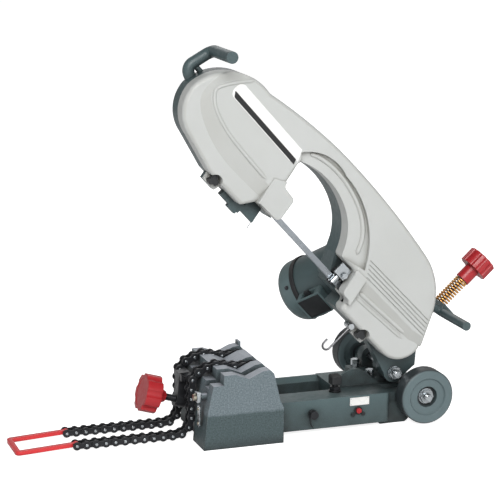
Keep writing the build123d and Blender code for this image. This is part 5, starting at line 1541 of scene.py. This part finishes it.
@dataclass
class RailFittings:
    """Bare plate and hanging wire clip on the front rail."""

    bench: Bench
    face: float = -4.0
    plate_low: Pair = (184.3, 42.6)
    plate_high: Pair = (218.2, 56.0)
    plate_thick: float = 0.7
    plate_edge: float = 0.15
    rim: float = 0.8
    rim_rise: float = 0.2
    rivet: float = 0.8
    rivet_ends: Pair = (0.3, 0.9)
    rivet_edge: float = 0.25
    rivet_in: float = 2.0
    peg: Pair = (118.0, 36.0)
    out: float = 4.5
    loop: float = 6.4
    loop_turn: float = -200.0
    wire: float = 1.1
    tail: Path = ((1.5, -11.4), (3.0, -7.6), (2.4, -1.2))

    def build(self) -> None:
        """Fix both fittings to the rail."""
        self.plate()
        self.clip()

    def plate(self) -> None:
        """Fix a plain plate with a raised rim and four rivets."""
        low, high = self.plate_low, self.plate_high
        plate = self.bench.box("rail_plate", (*low, 0.0), (*high, self.plate_thick))
        self.bench.end(plate, 1.0)
        bpy.ops.mesh.inset(thickness=self.rim, depth=-self.rim_rise)
        self.bench.done()
        self.bench.soften(plate, self.plate_edge)
        rivet = self.bench.rod("rail_plate_rivets", self.rivet, *self.rivet_ends, 12)
        self.bench.soften(rivet, self.rivet_edge, 2)
        across, rise = ((a + self.rivet_in, b - self.rivet_in) for a, b in zip(low, high))
        rivets = self.bench.copies(rivet, [at(x, y, 0.0) for x in across for y in rise])
        place = MM_FRAME @ at(0.0, self.face, 0.0) @ FACE
        self.bench.settle(plate, place, "base", "cover_plastic", finish="panel_film")
        self.bench.settle(rivets, place, "base", "bright_steel")

    def clip(self) -> None:
        """Bend a wire over the peg and let its tail hang."""
        spot = (self.loop, 0.0, 0.0)
        wire = self.bench.ring("rail_wire_clip", self.wire, 12, spot, (math.pi / 2, 0.0, 0.0))
        self.bench.pick(wire, Pick.FACES, lambda co, way: True)
        bpy.ops.mesh.spin(steps=18, angle=math.radians(self.loop_turn), center=(0.0, 0.0, 0.0),
                          axis=(0.0, 0.0, 1.0))
        for step in self.tail:
            self.bench.push((*step, 0.0))
        self.bench.done()
        self.bench.heal(wire)
        place = MM_FRAME @ at(self.peg[0], self.face - self.out, self.peg[1]) @ FACE
        self.bench.settle(wire, place, "base", "chain_steel", 50.0)


@dataclass
class MotorDressing:
    """Seam band, housing screws and the raised panel on the switch box."""

    bench: Bench
    apex: Spot = (-150.0, 68.0, 118.0)
    tilt: float = 45.0
    radius: float = 52.0
    seam: float = 150.0
    band: float = 8.0
    band_rise: float = 2.4
    band_over: float = 0.45
    band_gap: float = 0.05
    band_round: float = 0.6
    screws: int = 4
    screw: float = 3.4
    screw_ends: Pair = (0.0, 2.4)
    screw_slot: Pair = (0.5, 1.4)
    screw_out: float = 1.2
    screw_from: float = 9.0
    panel_half: float = 19.0
    panel_out: float = 15.0
    panel_rise: Pair = (-0.4, 1.0)
    panel_ends: Pair = (96.0, 140.0)
    panel_steps: Path = ((3.0, -0.8), (1.2, 0.6))
    panel_round: float = 0.35

    def place(self) -> Matrix:
        """Return the motor's own frame, with Z along its shaft."""
        return ARM @ at(*self.apex) @ turned(self.tilt - 180.0, "X")

    def build(self) -> None:
        """Fit the band, the screws and the panel."""
        self.seam_band()
        self.end_screws()
        self.switch_panel()

    def seam_band(self) -> None:
        """Lay a black band over the joint of housing and end cap."""
        outer = self.radius + self.band_rise
        ring = self.bench.rod("motor_seam_band", outer, self.seam - self.band, self.seam + self.band_over, 64)
        self.bench.pick(ring, Pick.FACES, lambda co, way: abs(way.z) > self.bench.facing)
        bpy.ops.mesh.inset(thickness=outer - self.radius - self.band_gap)
        bpy.ops.mesh.bridge_edge_loops()
        self.bench.done()
        self.bench.soften(ring, self.band_round, 2)
        self.bench.settle(ring, self.place(), "saw_arm", "black_rubber")

    def end_screws(self) -> None:
        """Set slotted screws round the end cap."""
        screw = self.bench.slotted("motor_cap_screws", self.screw, self.screw_ends, 24, self.screw_slot)
        out = at(0.0, self.radius + self.screw_out, self.seam + self.screw_from)
        angles = [45.0 + 360.0 / self.screws * step for step in range(self.screws)]
        screws = self.bench.copies(screw, [turned(angle, "Z") @ out @ turned(-90.0, "X") for angle in angles])
        self.bench.settle(screws, self.place(), "saw_arm", "chain_steel")

    def switch_panel(self) -> None:
        """Raise a stepped panel on the switch box."""
        near, far = (self.radius + self.panel_out + rise for rise in self.panel_rise)
        start, end = self.panel_ends
        panel = self.bench.box("switch_panel", (-self.panel_half, near, start), (self.panel_half, far, end))
        self.bench.pick(panel, Pick.FACES, lambda co, way: way.y > self.bench.facing)
        for width, depth in self.panel_steps:
            bpy.ops.mesh.inset(thickness=width, depth=depth)
        self.bench.done()
        self.bench.soften(panel, self.panel_round, 2)
        self.bench.settle(panel, self.place(), "saw_arm", "black_plastic")


@dataclass
class LatchDressing:
    """Keeper and foot plate of the latch on the block's left face."""

    bench: Bench
    spot: Spot = (-75.0, -3.0, 83.0)
    keeper_low: Spot = (-7.0, -8.5, -1.5)
    keeper_high: Spot = (7.0, 8.5, 5.5)
    keeper_round: float = 1.0
    window: float = 6.0
    window_ends: Pair = (-3.0, 7.0)
    foot_low: Spot = (-4.5, -50.0, -0.6)
    foot_high: Spot = (4.5, -14.0, 1.6)
    foot_corner: float = 4.0
    screw: float = 2.6
    screw_ends: Pair = (1.2, 3.2)
    screw_slot: Pair = (0.4, 2.4)
    screw_spots: Pair = (-20.0, -44.0)

    def build(self) -> None:
        """Fit the keeper round the plunger and the plate below it."""
        self.keeper()
        self.foot()

    def keeper(self) -> None:
        """Bolt an open steel keeper round the plunger."""
        keeper = self.bench.box("latch_keeper", self.keeper_low, self.keeper_high)
        self.bench.cut(keeper, self.bench.rod("keeper_window", self.window, *self.window_ends))
        self.bench.soften(keeper, self.keeper_round, 3)
        self.bench.settle(keeper, self.place(), "base", "bright_steel")

    def foot(self) -> None:
        """Fix a rounded plate with two screws below the keeper."""
        plate = self.bench.box("latch_foot_plate", self.foot_low, self.foot_high)
        self.bench.pick(plate, Pick.EDGES, lambda co, way: abs(way.z) > self.bench.facing)
        bpy.ops.mesh.bevel(offset=self.foot_corner, segments=6, affect="EDGES")
        self.bench.done()
        self.bench.soften(plate)
        screw = self.bench.slotted("latch_foot_screws", self.screw, self.screw_ends, 20, self.screw_slot)
        screws = self.bench.copies(screw, [at(0.0, rise, 0.0) for rise in self.screw_spots])
        self.bench.settle(plate, self.place(), "base", "bright_steel")
        self.bench.settle(screws, self.place(), "base", "latch_brass")

    def place(self) -> Matrix:
        """Return the frame of the left face, with Z out of the block and Y up."""
        return MM_FRAME @ at(*self.spot) @ turned(-90.0, "Y") @ turned(-90.0, "Z")


@dataclass
class Studio:
    """Pale floor, soft light and the camera at the photo's viewing angle."""

    azimuth: float = -19.30
    elevation: float = 12.74
    roll: float = 0.32
    spot: Spot = (-0.95887, -2.76786, 0.97929)
    lens: float = 136.8
    sensor: float = 36.0
    clip: Pair = (0.05, 60.0)
    floor_size: float = 40.0
    floor_level: float = -0.0002
    paper: Pair = (0.8, 0.83)
    paper_scale: float = 6.0
    paper_detail: float = 6.0
    paper_rough: float = 0.9
    paper_sheen: float = 0.1
    paper_glow: Pair = (0.1, 1.05)
    room_reach: float = 0.8
    room_height: Pair = (0.55, 0.15)
    room_front: Pair = (1.0, 0.6)
    aim: Spot = (0.1, 0.1, 0.25)
    lamps: tuple[tuple[str, Spot, float, float], ...] = (
        ("key_light", (-1.4, -4.2, 3.3), 3.0, 255.0),
        ("fill_light", (2.2, -2.6, 0.8), 2.4, 20.0),
        ("back_light", (0.8, 2.6, 2.2), 2.2, 24.0),
    )

    def build(self) -> None:
        """Set up everything around the object."""
        self.floor()
        self.world()
        for lamp in self.lamps:
            self.lamp(*lamp)
        self.camera()

    def floor(self) -> None:
        """Lay a plain pale floor."""
        bpy.ops.object.select_all(action="DESELECT")
        bpy.ops.mesh.primitive_plane_add(size=self.floor_size, location=(0.0, 0.0, self.floor_level))
        floor = bpy.context.active_object
        floor.name = "studio_floor"
        paper = bpy.data.materials.new("floor_paper")
        paper.use_nodes = True
        wires = Wiring(paper.node_tree)
        place = wires.node("ShaderNodeTexCoord").outputs["Object"]
        dark, light = ((level, level, level, 1.0) for level in self.paper)
        shade = wires.blend(wires.noise(place, self.paper_scale, self.paper_detail), dark, light)
        seen = wires.node("ShaderNodeLightPath").outputs["Is Camera Ray"]
        glow = wires.span(seen, 0.0, 1.0, *self.paper_glow)
        looks = {"Base Color": shade, "Roughness": self.paper_rough, "Specular IOR Level": self.paper_sheen,
                 "Emission Color": shade, "Emission Strength": glow}
        for name, value in looks.items():
            wires.feed(paper.node_tree.nodes["Principled BSDF"].inputs[name], value)
        floor.data.materials.append(paper)

    def world(self) -> None:
        """Light everything a little from all round."""
        scene = bpy.context.scene
        scene.view_settings.view_transform = "Standard"
        scene.view_settings.look = "None"
        sky = bpy.data.worlds.new("studio_room")
        scene.world = sky
        sky.use_nodes = True
        wires = Wiring(sky.node_tree)
        parts = wires.split(wires.node("ShaderNodeTexCoord").outputs["Generated"])
        height = wires.span(parts["Z"], 0.0, self.room_reach, *self.room_height)
        front = wires.span(parts["Y"], -self.room_reach, self.room_reach, *self.room_front)
        room = wires.calc("MULTIPLY", height, front)
        seen = wires.node("ShaderNodeLightPath").outputs["Is Camera Ray"]
        back = sky.node_tree.nodes["Background"]
        back.inputs["Color"].default_value = (1.0, 1.0, 1.0, 1.0)
        wires.feed(back.inputs["Strength"], wires.calc("MAXIMUM", room, seen))

    def lamp(self, name: str, spot: Spot, size: float, power: float) -> None:
        """Hang one soft area light that points at the object.

        Args:
            name: Name of the light.
            spot: Where it hangs.
            size: Width of its square.
            power: Its power in watts.
        """
        light = bpy.data.lights.new(name, "AREA")
        light.size = size
        light.energy = power
        holder = bpy.data.objects.new(name, light)
        holder.location = spot
        aim = Vector(self.aim) - Vector(spot)
        holder.rotation_euler = aim.to_track_quat("-Z", "Y").to_euler()
        bpy.context.scene.collection.objects.link(holder)

    def camera(self) -> None:
        """Stand the camera where the photo was taken from."""
        turn, rise, lean = (math.radians(angle) for angle in (self.azimuth, self.elevation, self.roll))
        back = Vector((math.sin(turn) * math.cos(rise), -math.cos(turn) * math.cos(rise), math.sin(rise)))
        right = Vector((math.cos(turn), math.sin(turn), 0.0))
        up = right.cross(-back)
        side = right * math.cos(lean) + up * math.sin(lean)
        top = up * math.cos(lean) - right * math.sin(lean)
        lens = bpy.data.cameras.new("photo_camera")
        lens.sensor_width = self.sensor
        lens.lens = self.lens
        lens.clip_start, lens.clip_end = self.clip
        holder = bpy.data.objects.new("photo_camera", lens)
        holder.matrix_world = at(*self.spot) @ Matrix((side, top, back)).transposed().to_4x4()
        bpy.context.scene.collection.objects.link(holder)
        bpy.context.scene.camera = holder


def main() -> None:
    """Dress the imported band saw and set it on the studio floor."""
    logging.basicConfig(level=logging.INFO, format="%(message)s")
    paint = Paintwork(Effects())
    paint.coat_nodes()
    bench = Bench(paint)
    for dressing in (CoverDressing, CoverBeads, FrameSkirt, ChainDressing, SpringDressing, BladeTeeth,
                     ViseDressing, BailDressing, StudEnds, RailFittings, MotorDressing, LatchDressing):
        dressing(bench).build()
    Studio().build()


if __name__ == "__main__":
    main()
